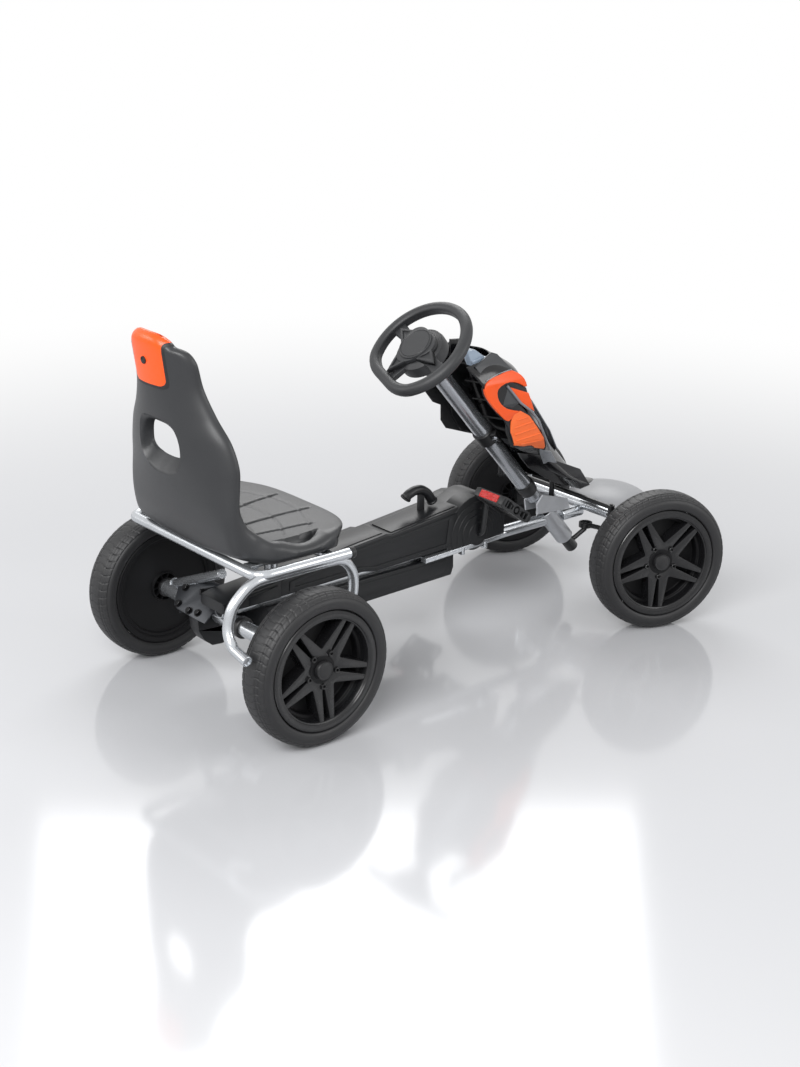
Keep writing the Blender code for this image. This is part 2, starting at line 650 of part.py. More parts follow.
def make_drive():
    """Rear axle with its sprocket and brake drum, crank with its chainwheel, and the chain."""
    axle_y = REAR_TRACK / 2.0 + 0.0188
    rear = axis_empty("rear_axle_axis", (0.0, 0.0, WHEEL_RADIUS))
    axle = rod("rear_axle", (0.0, -axle_y, 0.0), (0.0, axle_y, 0.0), AXLE_RADIUS, "steel", rear, 20)
    upright = Matrix.Rotation(radians(90.0), 4, "X")
    plate_place = Matrix.Translation((0.0, SPROCKET_Y, 0.0)) @ upright
    bore = circle(AXLE_RADIUS + AXLE_CLEARANCE, 16)
    sprocket = plate("rear_sprocket", sprocket_outline(SPROCKET_TEETH), SPROCKET_THICKNESS, "steel", rear,
                     plate_place, holes=(bore,))
    drum = turned("brake_drum_hub", tube_profile(DRUM_RADIUS, AXLE_RADIUS + AXLE_CLEARANCE, 0.0, DRUM_WIDTH), "steel",
                  rear, 20, True, Matrix.Translation((0.0, SPROCKET_Y, 0.0)) @ Matrix.Rotation(radians(-90.0), 4, "X"))
    cut(sprocket, drum, join=True)
    crank_axis = axis_empty("crank_axis", (CRANK_X, 0.0, CRANK_Z))
    crank = rod("crank", (0.0, -CRANK_ARM_Y, 0.0), (0.0, CRANK_LEFT_ARM_Y, 0.0), CRANK_AXLE_RADIUS, "black_paint",
                crank_axis, 20)
    tip_pins = []
    for sign, arm_y in ((-1.0, -CRANK_ARM_Y), (1.0, CRANK_LEFT_ARM_Y)):
        lean = Vector((sin(CRANK_LEAN), 0.0, cos(CRANK_LEAN))) * -sign
        arm = side_plate("crank_arm_" + ("right" if sign < 0 else "left"), arm_outline(lean),
                         arm_y - CRANK_ARM_THICKNESS / 2.0, arm_y + CRANK_ARM_THICKNESS / 2.0, "black_paint",
                         crank_axis)
        tip = lean * CRANK_LENGTH
        start = Vector((tip.x, arm_y, tip.z))
        pin = rod("pedal_pin_" + ("right" if sign < 0 else "left"), start, start + Y_AXIS * sign * PEDAL_PIN_LENGTH,
                  PEDAL_PIN_RADIUS, "black_paint", crank_axis, 12)
        tip_pins += [arm, pin]
    cut(crank, *tip_pins, join=True)
    wheel_bore = circle(CRANK_AXLE_RADIUS + AXLE_CLEARANCE, 20)
    windows = [circle(0.0115, 12, (0.028 * cos(a), 0.028 * sin(a))) for a in (pi / 4, 3 * pi / 4, 5 * pi / 4, 7 * pi / 4)]
    chainwheel = plate("chainwheel", sprocket_outline(CHAINWHEEL_TEETH), SPROCKET_THICKNESS, "steel", crank_axis,
                       plate_place, holes=(wheel_bore, *windows))
    return axle, sprocket, crank, chainwheel, make_chain(), crank_axis


def arm_outline(lean):
    """Crank arm outline about the crank axis, with round ends."""
    angle = atan2(lean.z, lean.x) * 180.0 / pi
    tip = (lean.x * CRANK_LENGTH, lean.z * CRANK_LENGTH)
    return arc((0.0, 0.0), 0.0125, angle + 90.0, angle + 270.0, 9) + arc(tip, 0.0095, angle - 90.0, angle + 90.0, 9)


def chain_path(grow):
    """Loop round both sprockets at a distance from the chain's pitch line."""
    big, small = chain_radius(CHAINWHEEL_TEETH) + grow, chain_radius(SPROCKET_TEETH) + grow
    front, rear = (CRANK_X, CRANK_Z), (0.0, WHEEL_RADIUS)
    base = atan2(front[1] - rear[1], front[0] - rear[0])
    spread = acos((big - small) / hypot(front[0] - rear[0], front[1] - rear[1]))
    top = (base + pi - spread) * 180.0 / pi
    low = (base - pi + spread) * 180.0 / pi
    return arc(rear, small, top, low + 360.0, 12) + arc(front, big, low, top, 20)


def make_chain():
    outside = chain_path(CHAIN_HALF_HEIGHT)
    inside = chain_path(CHAIN_TOOTH_CLEAR)
    return side_plate("chain", outside, SPROCKET_Y - CHAIN_WIDTH / 2.0, SPROCKET_Y + CHAIN_WIDTH / 2.0, "steel",
                      holes=(inside,))


def make_pedal(name, sign, crank_axis):
    """Pedal body turning on its pin, tipped down at the front, with a reflector on its rear edge."""
    lean = Vector((sin(CRANK_LEAN), 0.0, cos(CRANK_LEAN))) * -sign
    arm_y = -CRANK_ARM_Y if sign < 0 else CRANK_LEFT_ARM_Y
    tip = lean * CRANK_LENGTH
    turn = Matrix.Rotation(PEDAL_PITCH, 4, "Y")
    axis = axis_empty("pedal_" + name + "_axis", (tip.x, arm_y, tip.z), turn, crank_axis)
    near = sign * (CRANK_ARM_THICKNESS / 2.0 + PEDAL_SIDE_GAP)
    far = near + sign * PEDAL_WIDTH
    low, high = min(near, far), max(near, far)
    half, thick = PEDAL_LENGTH / 2.0, PEDAL_THICKNESS / 2.0
    body = block("pedal_" + name, (-half, low, -thick), (half, high, thick), "black_plastic", axis, bevel=0.004)
    hole = rod("pedal_bore_" + name, (0.0, low - 0.01, 0.0), (0.0, high + 0.01, 0.0), PEDAL_PIN_RADIUS + AXLE_CLEARANCE,
               parent=axis, sides=12, cutter=True)
    pockets = [block("pedal_pocket_" + name + str(i), (x0, low + 0.012, -0.05), (x1, high - 0.012, 0.05), parent=axis,
                     cutter=True) for i, (x0, x1) in enumerate(((-half + 0.012, -0.010), (0.010, half - 0.012)))]
    seat = block("reflector_seat_" + name, (-half - 0.01, low + 0.014, -0.0075), (-half + 0.0035, high - 0.014, 0.0075),
                 parent=axis, cutter=True)
    cut(body, hole, *pockets, seat)
    reflector = block("pedal_reflector_" + name, (-half + 0.0003, low + 0.0143, -0.0072),
                      (-half + 0.0032, high - 0.0143, 0.0072), "red", axis)
    return body, reflector


# Seat

def seat_sections():
    """Sections from the pan's front edge to the top of the back.

    Each holds the under or rear surface at the middle and at the side, then the upper or front surface
    at the middle and at the side, as (x, z), and the half width.
    """
    return [
        ((0.158, 0.3170), (0.100, 0.3170), (0.171, 0.3300), (0.107, 0.3300), 0.1640),
        ((0.140, 0.3140), (0.088, 0.3140), (0.150, 0.3420), (0.094, 0.3430), 0.1800),
        ((0.080, 0.3137), (0.044, 0.3137), (0.085, 0.3420), (0.048, 0.3460), 0.1850),
        ((0.020, 0.3137), (-0.004, 0.3137), (0.024, 0.3380), (0.002, 0.3480), 0.1850),
        ((-0.040, 0.3137), (-0.044, 0.3150), (-0.030, 0.3360), (-0.034, 0.3540), 0.1800),
        ((-0.0700, 0.3150), (-0.072, 0.3300), (-0.054, 0.3480), (-0.050, 0.3700), 0.1620),
        ((-0.0960, 0.3330), (-0.092, 0.3560), (-0.080, 0.3640), (-0.064, 0.3860), 0.1500),
        ((-0.1200, 0.3700), (-0.104, 0.3800), (-0.094, 0.3860), (-0.072, 0.4040), 0.1480),
        ((-0.1320, 0.4080), (-0.106, 0.4120), (-0.103, 0.4140), (-0.074, 0.4200), 0.1520),
        ((-0.1430, 0.4500), (-0.100, 0.4500), (-0.115, 0.4500), (-0.070, 0.4500), 0.1540),
        ((-0.1490, 0.4850), (-0.096, 0.4850), (-0.122, 0.4850), (-0.068, 0.4850), 0.1540),
        ((-0.1530, 0.5250), (-0.105, 0.5250), (-0.127, 0.5250), (-0.080, 0.5250), 0.1340),
        ((-0.1570, 0.5650), (-0.117, 0.5650), (-0.131, 0.5650), (-0.094, 0.5650), 0.1040),
        ((-0.1620, 0.6100), (-0.127, 0.6100), (-0.137, 0.6100), (-0.105, 0.6100), 0.0890),
        ((-0.1680, 0.6540), (-0.137, 0.6540), (-0.143, 0.6540), (-0.115, 0.6540), 0.0850),
        ((-0.1720, 0.6840), (-0.145, 0.6800), (-0.149, 0.6840), (-0.125, 0.6800), 0.0760),
        ((-0.1690, 0.6980), (-0.150, 0.6930), (-0.157, 0.6980), (-0.140, 0.6920), 0.0600),
    ]


def seat_ring(section, grow, half_width=None):
    """Closed ring of one seat section, grown outwards; the sides curve forward from the middle."""
    rear_mid, rear_side, front_mid, front_side, half = section
    shares = (-1.0, -0.82, -0.5, 0.0, 0.5, 0.82, 1.0)
    limit = half if half_width is None else min(half_width, half)
    out = (Vector((rear_mid[0], 0.0, rear_mid[1])) - Vector((front_mid[0], 0.0, front_mid[1]))).normalized() * grow
    ring = []
    for mid, side, push in ((rear_mid, rear_side, out), (front_mid, front_side, -out)):
        row = []
        for share in shares:
            y = share * (limit + grow)
            bend = min(1.0, abs(y) / half) ** 2.2
            row.append(Vector((mid[0] + (side[0] - mid[0]) * bend, y, mid[1] + (side[1] - mid[1]) * bend)) + push)
        ring += row if mid is rear_mid else list(reversed(row))
    return ring


def seat_loft(name, sections, grow, key, half_width=None, cutter=False, lift=0.0):
    shape = bmesh.new()
    rings = [[shape.verts.new(p) for p in seat_ring(section, grow, half_width)] for section in sections]
    for vert in rings[-1]:
        vert.co.z += lift
    for lower, upper in zip(rings, rings[1:]):
        for i in range(len(lower)):
            j = (i + 1) % len(lower)
            shape.faces.new((lower[i], lower[j], upper[j], upper[i]))
    shape.faces.new(list(reversed(rings[0])))
    shape.faces.new(rings[-1])
    bmesh.ops.recalc_face_normals(shape, faces=shape.faces[:])
    bmesh.ops.triangulate(shape, faces=shape.faces[:])
    return from_bmesh(name, shape, key, cutter=cutter)


def make_seat():
    """Moulded seat with its hand hole, and the cap over the top of the back."""
    sections = seat_sections()
    seat = seat_loft("seat", sections, 0.0, "black_plastic")
    hole = plate("hand_hole", hand_hole_outline(), 0.2, place=Matrix.Translation((-0.12, 0.0, HAND_HOLE_Z))
                 @ Matrix.Rotation(radians(90.0), 4, "Z") @ Matrix.Rotation(radians(90.0), 4, "X"), cutter=True)
    cut(seat, hole)
    top = [s for s in sections if s[0][1] >= CAP_BOTTOM_Z - 0.005]
    cap = seat_loft("seat_cap", top, CAP_WALL + GAP, "orange", CAP_HALF_WIDTH, lift=CAP_WALL + GAP)
    inner = seat_loft("cap_inner", sections, GAP, "orange", cutter=True, lift=GAP)
    return seat, cut(cap, inner)


def hand_hole_outline():
    """Rounded opening, wider towards the bottom."""
    points = []
    for i in range(20):
        angle = 2.0 * pi * i / 20
        wide = HAND_HOLE_HALF_WIDTH * (1.0 - 0.10 * sin(angle))
        points.append((wide * cos(angle) * (1.0 - 0.06 * cos(4.0 * angle)),
                       HAND_HOLE_HALF_HEIGHT * sin(angle) * (1.0 - 0.06 * cos(4.0 * angle))))
    return points


def make_seat_frame():
    """Bent bar behind and beside the seat, its plugs, the rails and cross tubes, and the side hoop."""
    y, z = SEAT_BAR_HALF_WIDTH, SEAT_BAR_Z
    bar = pipe("seat_bar", [(SEAT_BAR_FRONT_X, y, z), (SEAT_BAR_X, y, z), (SEAT_BAR_X, -y, z),
                            (SEAT_BAR_FRONT_X, -y, z)], SEAT_TUBE_RADIUS, "zinc", bend=0.028, steps=4)
    start = SEAT_BAR_FRONT_X + GAP
    plugs = [rod("seat_bar_plug_" + tag, (start, side, z), (start + PLUG_LENGTH, side, z), PLUG_RADIUS, "black_plastic",
                 end_radius=PLUG_RADIUS * 0.9) for tag, side in (("right", -y), ("left", y))]
    cross_end = y - SEAT_TUBE_RADIUS - GAP
    frame = rod("seat_support", (SEAT_CROSS_X, -cross_end, SEAT_CROSS_Z), (SEAT_CROSS_X, cross_end, SEAT_CROSS_Z),
                SEAT_TUBE_RADIUS, "zinc")
    post = rod("front_post", (SEAT_CROSS_X, 0.0, MAIN_TUBE_Z + MAIN_TUBE_RADIUS + GAP), (SEAT_CROSS_X, 0.0, SEAT_CROSS_Z),
               POST_RADIUS, "zinc")
    stay = rod("rear_stay", (STAY_X, 0.0, MAIN_TUBE_Z + MAIN_TUBE_RADIUS + GAP), (STAY_X, 0.0, SEAT_RAIL_TOP - 0.003),
               STAY_RADIUS, "zinc", sides=12)
    strip = block("rear_strip", (STAY_X - 0.010, -SEAT_RAIL_Y, SEAT_RAIL_TOP - 0.008),
                  (STAY_X + 0.010, SEAT_RAIL_Y, SEAT_RAIL_TOP - 0.0035), "zinc")
    rails = [block("rail" + str(side), (SEAT_BAR_X + SEAT_TUBE_RADIUS + GAP, side * SEAT_RAIL_Y - 0.011,
                                        SEAT_RAIL_TOP - 0.0045),
                   (SEAT_CROSS_X + 0.008, side * SEAT_RAIL_Y + 0.011, SEAT_RAIL_TOP), "zinc") for side in (-1, 1)]
    cut(frame, post, stay, strip, *rails, join=True)
    cut_after(frame, rod("hoop_clear", (SEAT_CROSS_X - 0.03, HOOP_Y, HOOP_TOP_Z), (SEAT_CROSS_X + 0.03, HOOP_Y, HOOP_TOP_Z),
                         SEAT_TUBE_RADIUS + GAP, sides=24, cutter=True))
    hoop = pipe("side_hoop", HOOP_ROUTE, SEAT_TUBE_RADIUS, "zinc", bend=0.026, steps=3)
    return bar, plugs, frame, hoop


# Casings over the backbone tube

def casing(name, outline, inner, y_low, y_high, key):
    """Trough made from an outline, hollowed by a second outline that runs out of its open side."""
    shell = side_plate(name, outline, y_low, y_high, key)
    hollow = side_plate(name + "_hollow", inner, y_low + COVER_WALL, y_high - COVER_WALL, cutter=True)
    return cut(shell, hollow)


def make_beam_cover():
    """Upper casing over the backbone tube and the top run of the chain."""
    w = COVER_WALL
    top = [(-0.045, 0.197), (-0.032, 0.2005), (0.100, 0.2120), (0.248, 0.2370), (0.330, 0.2450), (0.342, 0.2415),
           (0.510, 0.2600), (0.542, 0.2735), (0.560, 0.2765), (0.578, 0.2735), (0.606, 0.2570), (0.626, 0.2400),
           (0.633, 0.2150)]
    bottom = [(0.630, 0.1850), (0.305, 0.1755), (0.272, 0.1820), (-0.045, 0.1765)]
    inner_top = [(-0.045 + w, 0.197 - w), (-0.032, 0.2005 - w), (0.100, 0.2120 - w), (0.248, 0.2370 - w),
                 (0.330, 0.2450 - w), (0.342, 0.2415 - w), (0.510, 0.2600 - w), (0.543, 0.2735 - w),
                 (0.560, 0.2765 - w), (0.577, 0.2735 - w), (0.605, 0.2570 - w), (0.6235, 0.2400 - w),
                 (0.633 - w, 0.2150)]
    inner_bottom = [(0.630 - w, 0.1500), (-0.045 + w, 0.1500)]
    cover = casing("beam_cover", top + bottom, inner_top + inner_bottom, COVER_RIGHT_Y, COVER_LEFT_Y, "black_gloss")
    boss_y = COVER_RIGHT_Y + GAP
    boss = turned("crank_boss", [(0.0, 0.0), (0.036, 0.0), (0.034, -0.003), (0.026, -0.004), (0.024, -0.0085),
                                 (0.0, -0.0085)], "black_gloss", None, 24, False,
                  Matrix.Translation((CRANK_X - 0.003, boss_y, CRANK_Z + 0.001)) @ Matrix.Rotation(radians(-90.0), 4, "X"))
    cut(cover, boss, join=True)
    crank_hole = rod("cover_crank_hole", (CRANK_X, -0.2, CRANK_Z), (CRANK_X, 0.2, CRANK_Z),
                     CRANK_AXLE_RADIUS + 2 * GAP, sides=20, cutter=True)
    rear_corner = block("cover_rear_corner", (-0.2, REAR_COVER_LEFT_Y, 0.1), (REAR_COVER_END_X, 0.2, 0.3), cutter=True)
    post_hole = rod("cover_post_hole", (SEAT_CROSS_X, 0.0, 0.15), (SEAT_CROSS_X, 0.0, 0.30), POST_RADIUS + GAP,
                    sides=16, cutter=True)
    stay_hole = rod("cover_stay_hole", (STAY_X, 0.0, 0.15), (STAY_X, 0.0, 0.30), STAY_RADIUS + GAP, sides=12,
                    cutter=True)
    slot = block("cover_lever_slot", (LEVER_X - LEVER_SLOT_REAR, LEVER_Y - LEVER_HALF - 0.002, 0.225),
                 (LEVER_X + LEVER_SLOT_FRONT, LEVER_Y + LEVER_HALF + 0.002, 0.30), cutter=True)
    return cut_after(cover, crank_hole, rear_corner, post_hole, stay_hole, slot)


def make_lower_guard():
    """Lower casing under the chain; its rear bulge hangs below the axle round the sprocket."""
    w = COVER_WALL
    outline = [(0.055, 0.1640), (0.040, 0.1400), (-0.0405, 0.1380), (-0.0385, 0.1150), (-0.0270, 0.0940),
               (-0.0100, 0.0800), (0.0120, 0.0780), (0.0500, 0.0880), (0.1400, 0.1070), (0.2000, 0.1125),
               (0.3000, 0.1170), (0.5000, 0.1210), (0.5060, 0.1370), (0.6020, 0.1400), (0.6020, 0.1500),
               (0.5050, 0.1640)]
    inner = [(0.100, 0.2200), (-0.0405 + w, 0.2200), (-0.0405 + w, 0.1380), (-0.0385 + w, 0.1160),
             (-0.0270 + w, 0.0960), (-0.0090, 0.0825), (0.0120, 0.0805), (0.0500, 0.0905), (0.1400, 0.1095),
             (0.2000, 0.1150), (0.3000, 0.1195), (0.4970, 0.1235), (0.5040, 0.1395), (0.5995, 0.1425),
             (0.5995, 0.2200)]
    guard = casing("lower_guard", outline, inner, GUARD_RIGHT_Y, COVER_LEFT_Y, "black_plastic")
    clear = block("guard_axle_clear", (-0.2, -0.2, 0.0), (REAR_GUARD_END_X, REAR_GUARD_RIGHT_Y, 0.3), cutter=True)
    axle = rod("guard_axle_hole", (0.0, 0.0, WHEEL_RADIUS), (0.0, 0.2, WHEEL_RADIUS), AXLE_TUBE_RADIUS + GAP,
               sides=20, cutter=True)
    return cut_after(guard, clear, axle)


# Steering

def make_steering():
    """Wheel, shaft and column; the fixed sleeves stand on the head tube's line."""
    axis = axis_empty("steering_axis", (0.0, 0.0, 0.0))
    place = column_place(RIM_PLANE_DEPTH) @ Matrix.Rotation(-STEER_SHOWN, 4, "Z")
    axis.matrix_world = place
    ring = rim_route()
    wheel = pipe("steering_wheel", ring, WHEEL_RIM_TUBE, "black_plastic", axis, cyclic=True)
    hub = turned("wheel_hub", [(0.0, 0.0050), (0.030, 0.0050), (0.040, -0.004), (0.044, -0.016), (0.030, -0.040),
                               (0.0215, -0.0460), (COLUMN_SHAFT_RADIUS + AXLE_CLEARANCE, -0.0460),
                               (COLUMN_SHAFT_RADIUS + AXLE_CLEARANCE, HUB_BLIND_END), (0.0, HUB_BLIND_END)],
                 "black_plastic", axis, 24)
    spokes = [block("wheel_spoke_left", (-0.096, -0.017, -0.010), (-0.030, 0.015, 0.001), "black_plastic", axis),
              block("wheel_spoke_right", (0.030, -0.017, -0.010), (0.096, 0.015, 0.001), "black_plastic", axis),
              block("wheel_spoke_bottom", (-0.015, -0.080, -0.010), (0.015, -0.030, 0.001), "black_plastic", axis)]
    cut(wheel, hub, *spokes, join=True)
    cover = plate("steering_hub_cover", lobed_outline(), RIM_PLANE_DEPTH - 0.0053, "black_gloss", axis,
                  Matrix.Translation((0.0, 0.0, (RIM_PLANE_DEPTH + 0.0053) / 2.0)), bevel=0.002)
    shaft_end = COLUMN_ARM_START + ARM_HUB_LENGTH - 0.004
    shaft = rod("steering_shaft", (0.0, 0.0, HUB_BLIND_END - GAP), (0.0, 0.0, RIM_PLANE_DEPTH - shaft_end),
                COLUMN_SHAFT_RADIUS, "steel", axis, 16)
    column = [column_tube("column_upper_sleeve", UPPER_SLEEVE_RADIUS, SLEEVE_BORE, UPPER_SLEEVE_START,
                          UPPER_SLEEVE_END, "grey_paint"),
              make_lower_sleeve(),
              make_head_tube(),
              make_clamp(), make_shaft_bushes()]
    return wheel, cover, shaft, column, make_steering_arm(axis), axis


def rim_route():
    """Round rim with a flat at the bottom, in the wheel's own plane."""
    cut_angle = asin(WHEEL_FLAT_DEPTH / WHEEL_RIM_RADIUS) * 180.0 / pi
    sweep = arc((0.0, 0.0), WHEEL_RIM_RADIUS, -cut_angle + 7.0, 180.0 + cut_angle - 7.0, 26)
    flat = WHEEL_RIM_RADIUS * cos(radians(cut_angle)) * 0.82
    return [(x, y, 0.0) for x, y in sweep] + [(-flat, -WHEEL_FLAT_DEPTH, 0.0), (0.0, -WHEEL_FLAT_DEPTH, 0.0),
                                              (flat, -WHEEL_FLAT_DEPTH, 0.0)]


def lobed_outline():
    """Rounded three-lobed outline of the hub's cover."""
    return [((HUB_COVER_RADIUS + HUB_COVER_LOBE * cos(3.0 * (a - pi / 6.0))) * cos(a),
             (HUB_COVER_RADIUS + HUB_COVER_LOBE * cos(3.0 * (a - pi / 6.0))) * sin(a))
            for a in [2.0 * pi * i / 36 for i in range(36)]]


def make_lower_sleeve():
    """Lower sleeve with a thinner spigot that carries the bush and meets the gussets."""
    low, step, end = 0.0, UPPER_SLEEVE_END + GAP - LOWER_SLEEVE_END, UPPER_SLEEVE_END + GAP - COLLAR_END
    profile = [(LOWER_SLEEVE_RADIUS, low), (LOWER_SLEEVE_RADIUS, step), (COLLAR_RADIUS, step), (COLLAR_RADIUS, end),
               (SLEEVE_BORE, end), (SLEEVE_BORE, low)]
    return turned("column_lower_sleeve", profile, "grey_paint", None, 24, True,
                  column_place(UPPER_SLEEVE_END + GAP))


def make_clamp():
    """Split clamp ring over the joint of the sleeves, with its bolt ears."""
    start = CLAMP_START
    bore = UPPER_SLEEVE_RADIUS + GAP
    ring = column_tube("column_clamp", CLAMP_RADIUS, bore, start, start + CLAMP_LENGTH, "black_plastic")
    ears = block("clamp_ears", (0.004, CLAMP_RADIUS - 0.004, -CLAMP_LENGTH + 0.003),
                 (0.0165, CLAMP_RADIUS + 0.009, -0.003), "black_plastic")
    ears.matrix_local = column_place(start) @ Matrix.Rotation(radians(-60.0), 4, "Z")
    return cut(ring, ears, join=True)


def make_shaft_bushes():
    """Plain bushes that carry the shaft, and the wide bush round the lower sleeve's spigot."""
    fit = COLUMN_SHAFT_RADIUS + AXLE_CLEARANCE
    upper = column_tube("steering_bush_upper", SLEEVE_BORE - GAP, fit, UPPER_SLEEVE_START + 0.002,
                        UPPER_SLEEVE_START + 0.022, "black_plastic", 20)
    lower = column_tube("steering_bush_lower", HEAD_TUBE_BORE - GAP, fit, HEAD_TUBE_END - 0.024,
                        HEAD_TUBE_END - 0.002, "black_plastic", 20)
    wide = column_tube("column_bush", COLUMN_BUSH_RADIUS, COLLAR_RADIUS + GAP, LOWER_SLEEVE_END + GAP,
                       LOWER_SLEEVE_END + COLUMN_BUSH_LENGTH, "black_plastic")
    return upper, lower, wide


def make_steering_arm(axis):
    """Arm on the shaft's lower end, with the pin for the drag link."""
    top = RIM_PLANE_DEPTH - COLUMN_ARM_START
    bore = COLUMN_SHAFT_RADIUS + AXLE_CLEARANCE
    floor = top - ARM_HUB_LENGTH
    hub = turned("steering_arm", [(0.0, floor + 0.003), (bore, floor + 0.003), (bore, top), (ARM_HUB_RADIUS, top),
                                  (ARM_HUB_RADIUS, floor + 0.003), (ARM_HUB_RADIUS - 0.003, floor), (0.0, floor)],
                 "black_plastic", axis, 20)
    middle = top - ARM_HUB_LENGTH * 0.55
    arm = rod("steering_arm_lever", (0.0, 0.009, middle), (0.0, DRAG_ARM_LENGTH, middle), LINK_RADIUS, "black_paint",
              axis, 12)
    tip = steering_arm_tip()
    pin = rod("steering_arm_pin", (tip.x, tip.y, tip.z - 0.002), (tip.x, tip.y, DRAG_LINK_Z + 0.004), ARM_PIN_RADIUS,
              "black_paint", None, 10)
    cut(hub, arm, pin, join=True)
    return hub


def steering_arm_tip():
    """Tip of the steering arm in the kart's frame, wheel turned as shown."""
    top = RIM_PLANE_DEPTH - COLUMN_ARM_START
    middle = top - ARM_HUB_LENGTH * 0.55
    place = column_place(RIM_PLANE_DEPTH) @ Matrix.Rotation(-STEER_SHOWN, 4, "Z")
    return place @ Vector((0.0, DRAG_ARM_LENGTH, middle))


def make_head_tube():
    """Head tube with the two gussets to the column's spigot and the strut that carries the shield."""
    tube = column_tube("head_tube", HEAD_TUBE_RADIUS, HEAD_TUBE_BORE, HEAD_TUBE_START, HEAD_TUBE_END, "grey_paint", 28)
    outline = [(0.751, 0.232), (0.823, 0.210), (0.831, 0.187), (0.739, 0.192), (0.735, 0.214)]
    low = COLLAR_RADIUS + GAP
    right = side_plate("gusset_right", outline, -low - GUSSET_THICKNESS, -low, "grey_paint")
    left = side_plate("gusset_left", outline, low, low + GUSSET_THICKNESS, "grey_paint")
    foot = block("strut_foot", (STRUT_X - 0.009, -low - 0.001, 0.206), (STRUT_X + 0.009, low + 0.001, STRUT_FOOT_Z),
                 "grey_paint")
    strut = pipe("shield_strut", STRUT_ROUTE, STRUT_RADIUS, "grey_paint", bend=0.015, steps=3)
    cut(tube, right, left, foot, strut, join=True)
    return cut_after(tube, rod("head_bore", column_point(HEAD_TUBE_START - 0.06), column_point(HEAD_TUBE_END + 0.01),
                               HEAD_TUBE_BORE, sides=28, cutter=True))


def make_front_axle():
    """Front cross tube with its bosses, the kingpins pressed in them, and the stub to the head tube."""
    end = KINGPIN_SPACING / 2.0
    z = FRONT_AXLE_Z
    beam = rod("front_axle_beam", (WHEELBASE, -end, z), (WHEELBASE, end, z), FRONT_AXLE_RADIUS, "zinc", sides=20)
    bosses = [rod("boss" + str(s), (WHEELBASE, s * end, z - KINGPIN_BOSS_HALF), (WHEELBASE, s * end, z + KINGPIN_BOSS_HALF),
                  FRONT_AXLE_RADIUS + 0.0006, "zinc", sides=20) for s in (-1, 1)]
    head_x = (HUB_FACE_Z - MAIN_TUBE_Z) / tan(COLUMN_SLOPE) + HUB_FACE_X
    stub = rod("front_stub", (head_x, 0.0, MAIN_TUBE_Z), (WHEELBASE, 0.0, MAIN_TUBE_Z), MAIN_TUBE_RADIUS, "zinc",
               sides=20)
    low = z - KINGPIN_BOSS_HALF - EAR_THICKNESS - 2 * GAP
    high = z + KINGPIN_BOSS_HALF + EAR_THICKNESS + 2 * GAP
    pins = []
    for tag, s in (("right", -1), ("left", 1)):
        pins.append(turned("kingpin_" + tag, [(0.0, high + KINGPIN_HEAD), (KINGPIN_HEAD_RADIUS, high + KINGPIN_HEAD),
                                              (KINGPIN_HEAD_RADIUS, high), (KINGPIN_RADIUS, high), (KINGPIN_RADIUS, low),
                                              (KINGPIN_HEAD_RADIUS, low), (KINGPIN_HEAD_RADIUS, low - KINGPIN_HEAD),
                                              (0.0, low - KINGPIN_HEAD)], "zinc", None, 16, False,
                           Matrix.Translation((WHEELBASE, s * end, 0.0))))
    cut(beam, *bosses, stub, *pins, join=True)
    return cut_after(beam, column_cutter("stub_head_cut", HEAD_TUBE_RADIUS + GAP))


